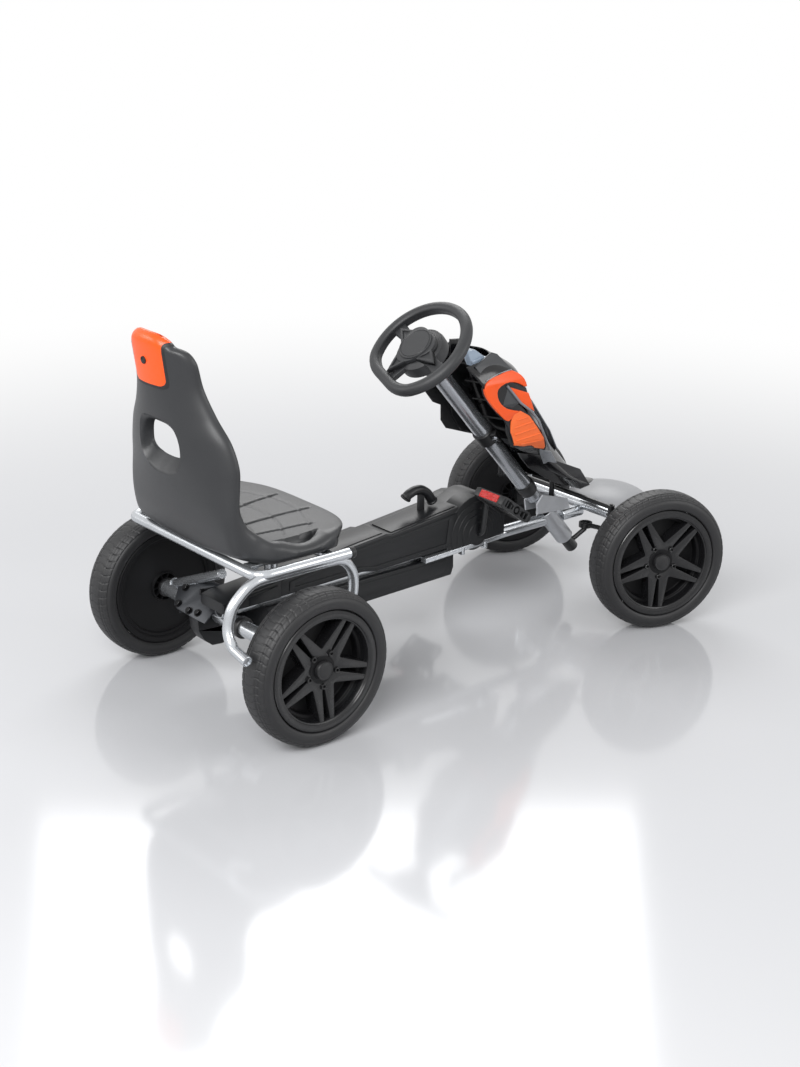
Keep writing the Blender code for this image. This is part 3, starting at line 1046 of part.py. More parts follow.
def make_spindle(name, sign):
    """Steering knuckle: ears round the boss, web, stub axle and steering arms, built straight then steered."""
    axis = axis_empty("kingpin_" + name + "_axis", (WHEELBASE, sign * KINGPIN_SPACING / 2.0, 0.0),
                      Matrix.Rotation(-STEER_SHOWN, 4, "Z"))
    low_in = FRONT_AXLE_Z - KINGPIN_BOSS_HALF - GAP
    high_in = FRONT_AXLE_Z + KINGPIN_BOSS_HALF + GAP
    web_in, web_out = WEB_INNER_Y, WEB_INNER_Y + WEB_THICKNESS

    def span(low, high):
        return (min(low * sign, high * sign), max(low * sign, high * sign))

    y0, y1 = span(web_in, web_out)
    web = block("spindle_" + name, (-0.0115, y0, SPINDLE_LOW_Z), (0.0115, y1, high_in + EAR_THICKNESS), "black_paint",
                axis)
    e0, e1 = span(-0.0115, web_in + 0.002)
    upper = block("upper_ear_" + name, (-0.0115, e0, high_in), (0.0115, e1, high_in + EAR_THICKNESS), "black_paint", axis)
    lower = block("lower_ear_" + name, (-0.0115, e0, low_in - EAR_THICKNESS), (0.0115, e1, low_in), "black_paint", axis)
    tie = block("tie_arm_" + name, (-TIE_ARM_LENGTH - 0.007, -0.007, high_in), (-0.009, 0.007, high_in + EAR_THICKNESS),
                "black_paint", axis)
    tie_boss = rod("tie_boss_" + name, (-TIE_ARM_LENGTH, 0.0, high_in + EAR_THICKNESS - 0.001),
                   (-TIE_ARM_LENGTH, 0.0, TIE_ROD_Z - EYE_HALF_HEIGHT - GAP), 0.0065, "black_paint", axis, 12)
    tie_pin = rod("tie_pin_" + name, (-TIE_ARM_LENGTH, 0.0, high_in + EAR_THICKNESS),
                  (-TIE_ARM_LENGTH, 0.0, TIE_ROD_Z + EYE_HALF_HEIGHT + 0.002), ARM_PIN_RADIUS, "black_paint", axis, 12)
    stub_end = KINGPIN_TO_WHEEL + 0.0188
    stub = rod("stub_axle_" + name, (0.0, sign * (web_out - 0.002), WHEEL_RADIUS), (0.0, sign * stub_end, WHEEL_RADIUS),
               AXLE_RADIUS, "black_paint", axis, 16)
    shoulder = rod("stub_shoulder_" + name, (0.0, sign * (web_out - 0.002), WHEEL_RADIUS),
                   (0.0, sign * (KINGPIN_TO_WHEEL - HUB_INNER_FACE - GAP), WHEEL_RADIUS), 0.0095, "black_paint", axis, 16)
    pieces = [upper, lower, tie, tie_boss, tie_pin, shoulder, stub]
    if name == "right":
        drag = block("drag_arm", (0.009, -0.007, low_in - EAR_THICKNESS), (DRAG_ARM_LENGTH + 0.007, 0.007, low_in),
                     "black_paint", axis)
        drag_pin = rod("drag_pin", (DRAG_ARM_LENGTH, 0.0, low_in - 0.001),
                       (DRAG_ARM_LENGTH, 0.0, DRAG_LINK_Z - EYE_HALF_HEIGHT - 0.002), ARM_PIN_RADIUS, "black_paint",
                       axis, 12)
        pieces += [drag, drag_pin]
    cut(web, *pieces, join=True)
    hole = rod("kingpin_hole_" + name, (0.0, 0.0, 0.10), (0.0, 0.0, 0.26), KINGPIN_RADIUS + GAP, parent=axis, sides=16,
               cutter=True)
    cut_after(web, hole)
    return web, axis


def knuckle_point(sign, reach):
    """Point at a forward reach from a kingpin, steered as shown."""
    turn = Matrix.Rotation(-STEER_SHOWN, 4, "Z")
    return Vector((WHEELBASE, sign * KINGPIN_SPACING / 2.0, 0.0)) + turn @ Vector((reach, 0.0, 0.0))


def eye_link(name, start, end, start_bore, end_bore, axis_name):
    """Link rod with a ring eye at each end, origin on the first eye's pin."""
    axis = axis_empty(axis_name, start)
    reach = end - start
    unit = reach.normalized()
    wall = EYE_WALL
    bar = rod(name, unit * (start_bore + wall / 2), reach - unit * (end_bore + wall / 2), LINK_RADIUS, "black_paint", axis, 12)
    eyes = []
    for tag, centre, bore in (("a", Vector((0, 0, 0)), start_bore), ("b", reach, end_bore)):
        eyes.append(turned(name + "_eye_" + tag, tube_profile(bore + wall, bore, -EYE_HALF_HEIGHT, EYE_HALF_HEIGHT),
                           "black_paint", axis, 16, True, Matrix.Translation(centre)))
    cut(bar, *eyes, join=True)
    holes = [rod(name + "_hole_" + tag, centre - Z_AXIS * 0.02, centre + Z_AXIS * 0.02, bore, parent=axis, sides=16,
                 cutter=True) for tag, centre, bore in (("a", Vector((0, 0, 0)), start_bore), ("b", reach, end_bore))]
    return cut_after(bar, *holes)


def make_links():
    left, right = knuckle_point(1.0, -TIE_ARM_LENGTH), knuckle_point(-1.0, -TIE_ARM_LENGTH)
    left.z = right.z = TIE_ROD_Z
    bore = ARM_PIN_RADIUS + GAP
    track = eye_link("track_rod", left, right, bore, bore, "track_rod_axis")
    near = knuckle_point(-1.0, DRAG_ARM_LENGTH)
    near.z = DRAG_LINK_Z
    tip = steering_arm_tip()
    tip.z = DRAG_LINK_Z
    drag = eye_link("drag_link", near, tip, bore, OPEN_EYE_BORE, "drag_link_axis")
    return track, drag


# Front fairing

def fairing_rows():
    """Rows from the hood down to the tip: side rear edge, side front edge and ridge, as (x, half width, z)."""
    return [
        ((0.492, 0.058, 0.555), (0.556, 0.052, 0.566), (0.588, 0.0, 0.570)),
        ((0.517, 0.078, 0.512), (0.604, 0.068, 0.526), (0.650, 0.0, 0.520)),
        ((0.548, 0.082, 0.462), (0.634, 0.072, 0.480), (0.684, 0.0, 0.468)),
        ((0.580, 0.082, 0.425), (0.655, 0.072, 0.434), (0.722, 0.0, 0.420)),
        ((0.606, 0.078, 0.380), (0.684, 0.066, 0.370), (0.766, 0.0, 0.362)),
        ((0.668, 0.052, 0.343), (0.728, 0.046, 0.333), (0.790, 0.0, 0.318)),
        ((0.752, 0.040, 0.287), (0.800, 0.042, 0.268), (0.856, 0.0, 0.252)),
        ((0.848, 0.024, 0.240), (0.872, 0.026, 0.2325), (0.912, 0.0, 0.2280)),
    ]


def fairing_points(row):
    rear, front, ridge = row
    return [(rear[0], -rear[1], rear[2]), (front[0], -front[1], front[2]), ridge, (front[0], front[1], front[2]),
            (rear[0], rear[1], rear[2])]


def make_fairing():
    """Shield ahead of the column: shell, side panels, ridge, screen, nose and the strut that carries it."""
    shape = bmesh.new()
    rows = [[shape.verts.new(p) for p in fairing_points(row)] for row in fairing_rows()]
    for upper, lower in zip(rows, rows[1:]):
        for i in range(len(upper) - 1):
            shape.faces.new((upper[i], lower[i], lower[i + 1], upper[i + 1]))
    shell = from_bmesh("fairing_shell", shape, "black_gloss", smooth=False)
    wall = shell.modifiers.new("wall", "SOLIDIFY")
    wall.thickness = FAIRING_WALL
    wall.offset = 0.0
    wall.use_even_offset = True
    panels = make_panels()
    ridge = make_ridge()
    screen = make_screen()
    nose = make_nose()
    return shell, panels, ridge, screen, nose


def make_panels():
    """Orange moulding: hood over the top and a panel down each side, as one strip."""
    stations = []
    for sign in (-1.0, 1.0):
        rows = fairing_rows()[4::-1] if sign < 0 else fairing_rows()[:5]
        line = []
        for rear, front, ridge in rows:
            out, up = sign * PANEL_STAND_OFF, PANEL_STAND_OFF if rear[2] > HOOD_LEVEL else 0.0
            line.append([(rear[0] + (front[0] - rear[0]) * t, sign * (rear[1] + (front[1] - rear[1]) * t) + out,
                          rear[2] + (front[2] - rear[2]) * t + up) for t in (0.06, 0.94)])
        stations += line
        if sign < 0:
            stations.append(HOOD_MIDDLE)
    shape = bmesh.new()
    verts = [[shape.verts.new(p) for p in pair] for pair in stations]
    for a, b in zip(verts, verts[1:]):
        shape.faces.new((a[0], a[1], b[1], b[0]))
    panels = from_bmesh("fairing_panels", shape, "orange", smooth=False)
    wall = panels.modifiers.new("wall", "SOLIDIFY")
    wall.thickness = PANEL_WALL
    wall.offset = 1.0
    return panels


def make_ridge():
    """Raised silver strip along the middle of the shield."""
    shape = bmesh.new()
    rows = fairing_rows()[2:6]
    verts = []
    for rear, front, ridge in rows:
        verts.append([shape.verts.new((ridge[0] + RIDGE_LIFT - 0.25 * abs(y), y, ridge[2] + RIDGE_LIFT))
                      for y in (-0.017, 0.0, 0.017)])
    for a, b in zip(verts, verts[1:]):
        for i in range(2):
            shape.faces.new((a[i], b[i], b[i + 1], a[i + 1]))
    strip = from_bmesh("fairing_ridge", shape, "silver", smooth=False)
    wall = strip.modifiers.new("wall", "SOLIDIFY")
    wall.thickness = PANEL_WALL
    wall.offset = 1.0
    return strip


def make_screen():
    """Small tinted screen standing on the hood."""
    shape = bmesh.new()
    lines = [[shape.verts.new((x, y, z)) for x, y, z in line + [(x, -y, z) for x, y, z in line[-2::-1]]]
             for line in (SCREEN_FOOT, SCREEN_TOP)]
    for i in range(len(lines[0]) - 1):
        shape.faces.new((lines[0][i], lines[0][i + 1], lines[1][i + 1], lines[1][i]))
    screen = from_bmesh("fairing_screen", shape, "screen")
    wall = screen.modifiers.new("wall", "SOLIDIFY")
    wall.thickness = 0.002
    wall.offset = 0.0
    return screen


def make_nose():
    """Rounded nose in front of the axle."""
    shape = bmesh.new()
    place = Matrix.Translation(NOSE_CENTRE) @ Matrix.Diagonal((*NOSE_HALF, 1.0))
    bmesh.ops.create_uvsphere(shape, u_segments=20, v_segments=10, radius=1.0, matrix=place)
    return from_bmesh("front_nose", shape, "silver")


# Small parts

def make_brake():
    """Hand lever with its grip, and the rod that pulls the shoe onto the drum."""
    axis = axis_empty("brake_lever_axis", (LEVER_X, LEVER_Y, LEVER_PIVOT_Z))
    y0, y1 = -LEVER_HALF, LEVER_HALF
    lever = side_plate("brake_lever", [(-0.009, -0.014), (0.009, -0.014), (0.009, 0.010), (0.005, 0.022),
                                       (0.003, 0.060), (0.003, LEVER_TOP), (-0.009, LEVER_TOP), (-0.009, 0.060),
                                       (-0.006, 0.022), (-0.009, 0.010)],
                       y0, y1, "black_plastic", axis)
    pivot = rod("lever_bore", (0.0, -0.05, 0.0), (0.0, 0.05, 0.0), LEVER_PIN_RADIUS + GAP, parent=axis, sides=12,
                cutter=True)
    pull = rod("lever_pull_hole", (0.0, -0.05, -BRAKE_PIN_DROP), (0.0, 0.05, -BRAKE_PIN_DROP), BRAKE_ROD_RADIUS + 0.0008,
               parent=axis, sides=10, cutter=True)
    cut(lever, pivot, pull)
    grip = pipe("brake_grip", [(-0.047, 0.0, 0.0850), (-0.040, 0.0, 0.0950), (-0.024, 0.0, 0.1020),
                               (-0.004, 0.0, 0.1010), (0.016, 0.0, 0.0880), (0.030, 0.0, 0.0700)],
                GRIP_RADIUS, "black_plastic", axis)
    socket_top = LEVER_TOP + GAP
    stem_clear = side_plate("grip_socket", [(0.003 + GAP, socket_top), (-0.009 - GAP, socket_top), (-0.009 - GAP, 0.061),
                                            (0.003 + GAP, 0.061)],
                            y0 - GAP, y1 + GAP, parent=axis, cutter=True)
    cut(grip, stem_clear)
    pin_z = LEVER_PIVOT_Z - BRAKE_PIN_DROP
    route = [(LEVER_X, LEVER_Y - LEVER_HALF, pin_z), (LEVER_X, BRAKE_ROD_Y, pin_z),
             (0.060, BRAKE_ROD_Y, 0.1640), (-0.0215, BRAKE_ROD_Y, 0.1620), (-0.0215, BRAKE_ROD_Y, 0.1400)]
    brake_rod = pipe("brake_rod", route, BRAKE_ROD_RADIUS, "steel")
    shoe = block("brake_shoe", (-0.0250, SPROCKET_Y + 0.003, 0.1300), (-DRUM_RADIUS - SHOE_CLEAR, 0.0755, 0.1500), "steel")
    cut(brake_rod, shoe, join=True)
    return lever, grip, brake_rod


def build():
    clear_scene()
    axes = wheel_axes()
    masters = {}
    for name in ("rear_left", "rear_right", "front_left", "front_right"):
        make_wheel(name, axes[name], masters)
    make_axle_tubes()
    make_main_tube()
    make_rear_bracket()
    parts = make_drive()
    crank_axis = parts[-1]
    make_pedal("right", -1.0, crank_axis)
    make_pedal("left", 1.0, crank_axis)
    make_seat()
    make_seat_frame()
    make_beam_cover()
    make_lower_guard()
    make_steering()
    make_front_axle()
    make_spindle("left", 1.0)
    make_spindle("right", -1.0)
    make_links()
    make_fairing()
    make_brake()
    origin = axis_empty("kart_frame", (REAR_AXLE_X, 0.0, 0.0))
    for item in list(bpy.data.objects):
        if item is not origin and item.parent is None:
            item.parent = origin


build()
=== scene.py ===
from math import atan2, cos, hypot, pi, radians, sin, sqrt, tan

import bmesh
import bpy
from mathutils import Matrix, Vector


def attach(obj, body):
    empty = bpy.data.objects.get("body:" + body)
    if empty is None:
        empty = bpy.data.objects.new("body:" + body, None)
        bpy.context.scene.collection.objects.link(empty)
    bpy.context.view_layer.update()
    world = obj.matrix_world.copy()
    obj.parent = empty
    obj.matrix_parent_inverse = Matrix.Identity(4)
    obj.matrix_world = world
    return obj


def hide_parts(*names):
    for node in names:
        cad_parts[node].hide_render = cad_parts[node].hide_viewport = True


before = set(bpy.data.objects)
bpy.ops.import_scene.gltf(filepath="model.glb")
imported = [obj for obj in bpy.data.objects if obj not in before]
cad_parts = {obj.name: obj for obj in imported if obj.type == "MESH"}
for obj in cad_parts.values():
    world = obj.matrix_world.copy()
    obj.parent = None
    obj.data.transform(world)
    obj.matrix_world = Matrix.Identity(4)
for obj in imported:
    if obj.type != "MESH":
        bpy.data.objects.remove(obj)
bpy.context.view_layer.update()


# Tyres
# Four 280 x 66 mm tyres, moulded in one piece from foamed rubber and pressed over the rims.
# The sidewall is a smooth bulging band. Thin curved sipes cross the tread between two shoulder grooves.

REAR_AXLE_X = -0.4362
WHEEL_Z = 0.140
REAR_HUB_Y = 0.2435
WHEELBASE = 0.880
KINGPIN_Y = 0.161
KINGPIN_TO_WHEEL = 0.0888
STEER_SHOWN = radians(-19.5)
TYRE_SECTION = [(0.1101, 0.0240), (0.1103, 0.0288), (0.1118, 0.0308), (0.1148, 0.0323), (0.1185, 0.0330),
                (0.1225, 0.0330), (0.1262, 0.0322), (0.1290, 0.0307), (0.1304, 0.0293), (0.1311, 0.0295),
                (0.1330, 0.0282), (0.1350, 0.0261), (0.1364, 0.0238), (0.1368, 0.0222), (0.1358, 0.0216),
                (0.1360, 0.0208), (0.1376, 0.0203), (0.1383, 0.0176), (0.1386, 0.0160), (0.1375, 0.0154),
                (0.1377, 0.0147), (0.1390, 0.0141), (0.1396, 0.0100), (0.1399, 0.0050), (0.1400, 0.0)]
TREAD_INNER_RADIUS = 0.1325
TYRE_STEPS = 900
SIPES = 60
SIPE_DEPTH = 0.0017
SIPE_REACH = 0.0013
SIPE_SWAY = 0.050
TREAD_CENTRE_HALF = 0.0008


def srgb(code):
    """Linear colour with alpha from an sRGB hex value."""
    parts = [int(code[i:i + 2], 16) / 255 for i in (0, 2, 4)]
    return [part / 12.92 if part <= 0.04045 else ((part + 0.055) / 1.055) ** 2.4 for part in parts] + [1.0]


def node(tree, kind, inputs=None, **settings):
    """One shader node with its settings, its sockets filled with values or joined to other sockets."""
    made = tree.nodes.new(kind)
    for name, value in settings.items():
        setattr(made, name, value)
    for name, value in (inputs or {}).items():
        if isinstance(value, bpy.types.NodeSocket):
            tree.links.new(value, made.inputs[name])
        else:
            made.inputs[name].default_value = value
    return made


def cleared(owner):
    """Empty shader tree of a material or a world."""
    owner.use_nodes = True
    owner.node_tree.nodes.clear()
    return owner.node_tree


def moulded(name, deep, light, gloss, grain, patch=0.060, **shader):
    """Finish with slow colour patches, uneven gloss and a fine grain: gloss is the roughness from and to,
    grain its size and its height, patch the size of the patches, all in metres."""
    material = bpy.data.materials.new(name)
    tree = cleared(material)
    place = node(tree, "ShaderNodeTexCoord").outputs["Object"]
    patches = node(tree, "ShaderNodeTexNoise", {"Vector": place, "Scale": 1.0 / patch, "Detail": 4.0})
    fine = node(tree, "ShaderNodeTexNoise", {"Vector": place, "Scale": 1.0 / grain[0], "Detail": 3.0})
    colour = node(tree, "ShaderNodeMix", {0: patches.outputs["Fac"], 6: srgb(deep), 7: srgb(light)},
                  data_type="RGBA")
    rough = node(tree, "ShaderNodeMapRange", {"Value": fine.outputs["Fac"], "From Min": 0.3, "From Max": 0.7,
                                              "To Min": gloss[0], "To Max": gloss[1]})
    bump = node(tree, "ShaderNodeBump", {"Height": fine.outputs["Fac"], "Distance": grain[1], "Strength": 1.0})
    body = node(tree, "ShaderNodeBsdfPrincipled", {"Base Color": colour.outputs[2], "Normal": bump.outputs["Normal"],
                                                   "Roughness": rough.outputs["Result"], **shader})
    node(tree, "ShaderNodeOutputMaterial", {"Surface": body.outputs["BSDF"]})
    return material


def turned(profile, steps, place=Matrix.Identity(4), closed=True):
    """Shape turned about local Z from its section of (radius, height) points."""
    shape = bmesh.new()
    verts = [shape.verts.new((radius, 0.0, height)) for radius, height in profile]
    pairs = list(zip(verts, verts[1:])) + ([(verts[-1], verts[0])] if closed else [])
    edges = [shape.edges.new(pair) for pair in pairs]
    bmesh.ops.spin(shape, geom=verts + edges, cent=(0, 0, 0), axis=(0, 0, 1), angle=2 * pi, steps=steps,
                   use_merge=True)
    bmesh.ops.remove_doubles(shape, verts=shape.verts, dist=1e-6)
    bmesh.ops.recalc_face_normals(shape, faces=shape.faces)
    return placed(shape, place)


def placed(shape, place):
    """Moves a shape by a placement and hands it back."""
    bmesh.ops.transform(shape, matrix=place, verts=shape.verts)
    return shape


def join(shape, *others):
    """Adds other shapes to a shape."""
    for other in others:
        spare = bpy.data.meshes.new("spare")
        other.to_mesh(spare)
        other.free()
        shape.from_mesh(spare)
        bpy.data.meshes.remove(spare)
    return shape


def piece(name, shape, material, body, replaced=(), crease=35.0):
    """Finished object from a shape in the kart's frame, which starts at the rear axle."""
    bmesh.ops.translate(shape, vec=(REAR_AXLE_X, 0.0, 0.0), verts=shape.verts)
    mesh = bpy.data.meshes.new(name)
    shape.to_mesh(mesh)
    shape.free()
    mesh.materials.append(material)
    mesh.shade_smooth()
    mesh.set_sharp_from_angle(angle=radians(crease))
    made = bpy.data.objects.new(name, mesh)
    bpy.context.scene.collection.objects.link(made)
    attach(made, body)
    if replaced:
        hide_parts(*replaced)
    return made


# Foamed rubber, mould-cured: near black with a soft grey sheen and a fine powdery skin.
tyre_rubber = moulded("foam_rubber_moulded", "161617", "232325", (0.42, 0.58), (0.0012, 0.00005), 0.045)

steer = Matrix.Rotation(STEER_SHOWN, 4, "Z")
wheels = {}
for side, sign in (("left", 1), ("right", -1)):
    outward = Matrix.Rotation(radians(-90 * sign), 4, "X")
    wheels["rear_" + side] = Matrix.Translation((0.0, sign * REAR_HUB_Y, WHEEL_Z)) @ outward
    kingpin = Matrix.Translation((WHEELBASE, sign * KINGPIN_Y, WHEEL_Z))
    wheels["front_" + side] = kingpin @ steer @ Matrix.Translation((0.0, sign * KINGPIN_TO_WHEEL, 0.0)) @ outward
wheel_body = {"rear_left": "wheel_rear_left", "rear_right": "rear_axle",
              "front_left": "wheel_front_left", "front_right": "wheel_front_right"}

for wheel, place in wheels.items():
    section = TYRE_SECTION + [(radius, -height) for radius, height in reversed(TYRE_SECTION[:-1])]
    tyre = turned(section, TYRE_STEPS)
    half = TYRE_SECTION[4][1]
    for vert in tyre.verts:
        radius = hypot(vert.co.x, vert.co.y)
        if radius > TREAD_INNER_RADIUS and abs(vert.co.z) > TREAD_CENTRE_HALF:
            share = vert.co.z / half
            turn = atan2(vert.co.y, vert.co.x) + SIPE_SWAY * sin(pi * share) * (1 if share > 0 else -1)
            off = abs((turn * SIPES / (2 * pi) + 0.5) % 1.0 - 0.5) * 2 * pi / SIPES * radius
            depth = SIPE_DEPTH * max(0.0, 1.0 - off / SIPE_REACH)
            vert.co.x -= depth * vert.co.x / radius
            vert.co.y -= depth * vert.co.y / radius
    piece("tyre_" + wheel + "_dressed", placed(tyre, place), tyre_rubber, wheel_body[wheel],
          ["tyre_" + wheel], crease=60)


# Rims and hub caps
# Each rim is an injection moulding in glass-filled polypropylene: a polished lip and five split spokes
# over a flat etched disc, a small ring at each split's root, and a finned boss on the inner side.

RIM_OUTER = [(0.0190, 0.0190), (0.0250, 0.0190), (0.0262, 0.0180), (0.0300, -0.0050), (0.0320, -0.0060),
             (0.0820, -0.0060), (0.0832, -0.0050), (0.0850, 0.0080), (0.0858, 0.0090), (0.0890, 0.0094),
             (0.0900, 0.0104), (0.0916, 0.0170),
             (0.0928, 0.0262), (0.0936, 0.0276), (0.0958, 0.0286), (0.0966, 0.0300), (0.0990, 0.0309),
             (0.1040, 0.0309), (0.1075, 0.0303), (0.1090, 0.0290), (0.1093, 0.0240)]
RIM_INNER = [(0.1050, 0.0235), (0.1050, -0.0235), (0.1093, -0.0240), (0.1093, -0.0292), (0.1075, -0.0303),
             (0.1000, -0.0300), (0.0975, -0.0285), (0.0965, -0.0262), (0.0915, -0.0255), (0.0905, -0.0215),
             (0.0890, -0.0205), (0.0290, -0.0205), (0.0284, -0.0220), (0.0280, -0.0250), (0.0260, -0.0250),
             (0.0256, -0.0120), (0.0110, -0.0120), (0.0108, -0.0250), (0.0064, -0.0250), (0.0064, 0.0190)]
RIM_STEPS = 144
INNER_FINS = 10
FIN_RADII = (0.0105, 0.0262)
FIN_HALF = 0.0007
FIN_HEIGHTS = (-0.0242, -0.0115)
SPOKES = 5
SPLIT = [(0.0430, 0.0028), (0.0960, 0.0064)]
WINDOW_APEX = 0.0440
APEX_ROUND = 0.0035
SPOKE_HUB_RADIUS = 0.0240
WINDOW_EDGE = (0.0945, 0.0155)
SPOKE_FACE = [(0.0230, 0.0188), (0.0960, 0.0272)]
SPOKE_FOOT = -0.0070
SPOKE_BEVEL = 0.0018
SLOT_ANGLES = {"rear_right": 57.0, "front_right": 47.7, "rear_left": 30.0, "front_left": 64.0}
CAP_SECTION = [(0.0, 0.0281), (0.0100, 0.0279), (0.0130, 0.0268), (0.0142, 0.0272), (0.0158, 0.0268),
               (0.0169, 0.0250), (0.0172, 0.0194), (0.0, 0.0194)]
LUG_RADIUS = 0.0310
LIP_FACE = [(0.0912, 0.0165), (0.0925, 0.0265), (0.0934, 0.0280), (0.0956, 0.0290), (0.0964, 0.0303),
            (0.0990, 0.0312), (0.1040, 0.0312), (0.1076, 0.0306), (0.1089, 0.0293), (0.1089, 0.0240),
            (0.0960, 0.0240)]
LUG_SECTION = [(0.0028, 0.0203), (0.0028, 0.0222), (0.0042, 0.0228), (0.0052, 0.0220), (0.0054, 0.0190),
               (0.0028, 0.0190)]


def slab(outline, low, high, bevel=0.0, segments=2, holes=()):
    """Flat outline in local X and Y, made solid from low to high along Z, its edges rounded."""
    shape = bmesh.new()
    rings = []
    for ring in (outline, *holes):
        verts = [shape.verts.new((x, y, low)) for x, y in ring]
        rings += [shape.edges.new(pair) for pair in zip(verts, verts[1:] + verts[:1])]
    bmesh.ops.triangle_fill(shape, edges=rings, use_beauty=True, use_dissolve=True)
    top = bmesh.ops.extrude_face_region(shape, geom=shape.faces[:], use_keep_orig=True)
    raised = [item for item in top["geom"] if isinstance(item, bmesh.types.BMVert)]
    bmesh.ops.translate(shape, vec=(0.0, 0.0, high - low), verts=raised)
    bmesh.ops.recalc_face_normals(shape, faces=shape.faces)
    if bevel:
        sharp = [edge for edge in shape.edges if len(edge.link_faces) == 2 and edge.calc_face_angle() > radians(30)
                 and abs(edge.verts[0].co.z - edge.verts[1].co.z) < 1e-6]
        bmesh.ops.bevel(shape, geom=sharp, offset=bevel, segments=segments, affect="EDGES", profile=0.5, material=-1,
                        clamp_overlap=True)
    return shape


def arc(centre, radius, first, last, count):
    """Points on an arc, angles in degrees."""
    return [(centre[0] + radius * cos(radians(first + (last - first) * i / (count - 1))),
             centre[1] + radius * sin(radians(first + (last - first) * i / (count - 1)))) for i in range(count)]


def polar(along, off, angle):
    """Point at a distance along a ray at an angle in degrees, and off to its left."""
    turn = radians(angle)
    return (along * cos(turn) - off * sin(turn), along * sin(turn) + off * cos(turn))


def face_height(radius):
    """Height of the spokes' outer face, which climbs from the hub to the lip."""
    (inner, low), (outer, high) = SPOKE_FACE
    share = max(0.0, min(1.0, (radius - inner) / (outer - inner)))
    return low + (high - low) * share ** 1.3


# Glass-filled polypropylene, spark-etched in the mould: flat, and its black base colour darker than the spokes' as
# painted shade, so the disc drops behind the spokes.
rim_plastic_painted_shade = moulded("polypropylene_spark_etched_black_painted_shade", "08080a", "0e0e10", (0.48, 0.60), (0.0012, 0.00003), 0.05,
                      **{"Specular IOR Level": 0.26})
# The same plastic from polished steel: half gloss, with a faint orange-peel skin that softens each glint.
spoke_plastic = moulded("polypropylene_moulded_black", "121213", "1a1a1c", (0.20, 0.28), (0.0025, 0.00003), 0.08)
# The same plastic with a fine etched texture: flatter and a little greyer.
cap_plastic = moulded("polypropylene_etched_black", "141415", "1e1e20", (0.38, 0.52), (0.0009, 0.00006), 0.05)

half_turn = 180 / SPOKES
fin_start, fin_end = FIN_RADII
for wheel, place in wheels.items():
    rim = turned(RIM_OUTER + RIM_INNER, RIM_STEPS)
    face = turned(LIP_FACE, RIM_STEPS)
    for fifth in range(SPOKES):
        window = SLOT_ANGLES[wheel] + half_turn * (1 + 2 * fifth)
        sides = []
        for turn_sign in (-1, 1):
            slot = window + half_turn * turn_sign
            sides.append([polar(along, -turn_sign * off, slot) for along, off in (*SPLIT, WINDOW_EDGE)])
        apex = arc(polar(WINDOW_APEX, 0.0, window), APEX_ROUND, window + 240, window + 120, 7)
        hub = arc((0.0, 0.0), SPOKE_HUB_RADIUS, window + half_turn, window - half_turn, 7)
        spoke = slab(sides[0] + apex + sides[1][::-1] + hub, SPOKE_FOOT, SPOKE_FACE[0][1])
        for vert in spoke.verts:
            if vert.co.z > 0.0:
                vert.co.z = face_height(hypot(vert.co.x, vert.co.y))
        top_edges = [edge for edge in spoke.edges if edge.verts[0].co.z > 0 and edge.verts[1].co.z > 0
                     and len(edge.link_faces) == 2 and edge.calc_face_angle() > radians(40)]
        bmesh.ops.bevel(spoke, geom=top_edges, offset=SPOKE_BEVEL, segments=2, affect="EDGES", profile=0.5,
                        material=-1, clamp_overlap=True)
        lug_ring = turned(LUG_SECTION, 24, Matrix.Translation((*polar(LUG_RADIUS, 0.0, window + half_turn), 0.0)))
        join(face, spoke, lug_ring)
    for fin in range(INNER_FINS):
        blade = slab([(fin_start, -FIN_HALF), (fin_end, -FIN_HALF), (fin_end, FIN_HALF), (fin_start, FIN_HALF)],
                     *FIN_HEIGHTS)
        join(rim, placed(blade, Matrix.Rotation(2 * pi * fin / INNER_FINS, 4, "Z")))
    # The disc, barrel and inner side take the darker copy of the plastic: painted shade in the recess behind the
    # spokes.
    piece("rim_" + wheel + "_dressed", placed(rim, place), rim_plastic_painted_shade, wheel_body[wheel],
          ["rim_" + wheel], crease=28)
    piece("spokes_" + wheel, placed(face, place), spoke_plastic, wheel_body[wheel], crease=28)
    cap = turned(CAP_SECTION, 64, place, closed=False)
    piece("hub_cap_" + wheel + "_dressed", cap, cap_plastic, wheel_body[wheel], ["hub_cap_" + wheel])


# Rear axle
# A solid steel shaft in two zinc-plated tubes with flanged nylon bearings. The right tube reaches past
# the backbone and carries a black ring beside it. The left one has the brace welded on.

AXLE_TUBE_RADIUS = 0.0150
AXLE_TUBE_BORE = 0.0102
AXLE_TUBE_END_Y = 0.2125
RIGHT_TUBE_INNER_Y = 0.045
LEFT_TUBE_INNER_Y = 0.088
BRACE = ((0.004, 0.192, 0.1530), (-0.0105, 0.0155, 0.2310), 0.0090)
BRACE_WELD_GROW = 0.001
AXLE_RING = (-0.037, -0.023)
AXLE_RING_WALL = 0.005
AXLE_RING_ROUND = 0.0015
RING_FIT = 0.0002
WELD_RIPPLE = 0.10
WELD_WAVES = 14


def aim(start, end):
    """Placement with local Z along a line, from its start."""
    line = Vector(end) - Vector(start)
    return Matrix.Translation(Vector(start)) @ line.to_track_quat("Z", "Y").to_matrix().to_4x4()


def hollow_bar(start, end, radius, bore, rim=0.0006, steps=48):
    """Straight round tube, open at both ends, with broken edges."""
    length = (Vector(end) - Vector(start)).length
    section = [(bore, 0.0), (radius - rim, 0.0), (radius, rim), (radius, length - rim), (radius - rim, length),
               (bore, length)]
    return turned(section, steps, aim(start, end))


def bar(start, end, radius, rim=0.0006, steps=48):
    """Straight round bar with broken edges."""
    length = (Vector(end) - Vector(start)).length
    section = [(0.0, 0.0), (radius - rim, 0.0), (radius, rim), (radius, length - rim), (radius - rim, length),
               (0.0, length)]
    return turned(section, steps, aim(start, end), closed=False)


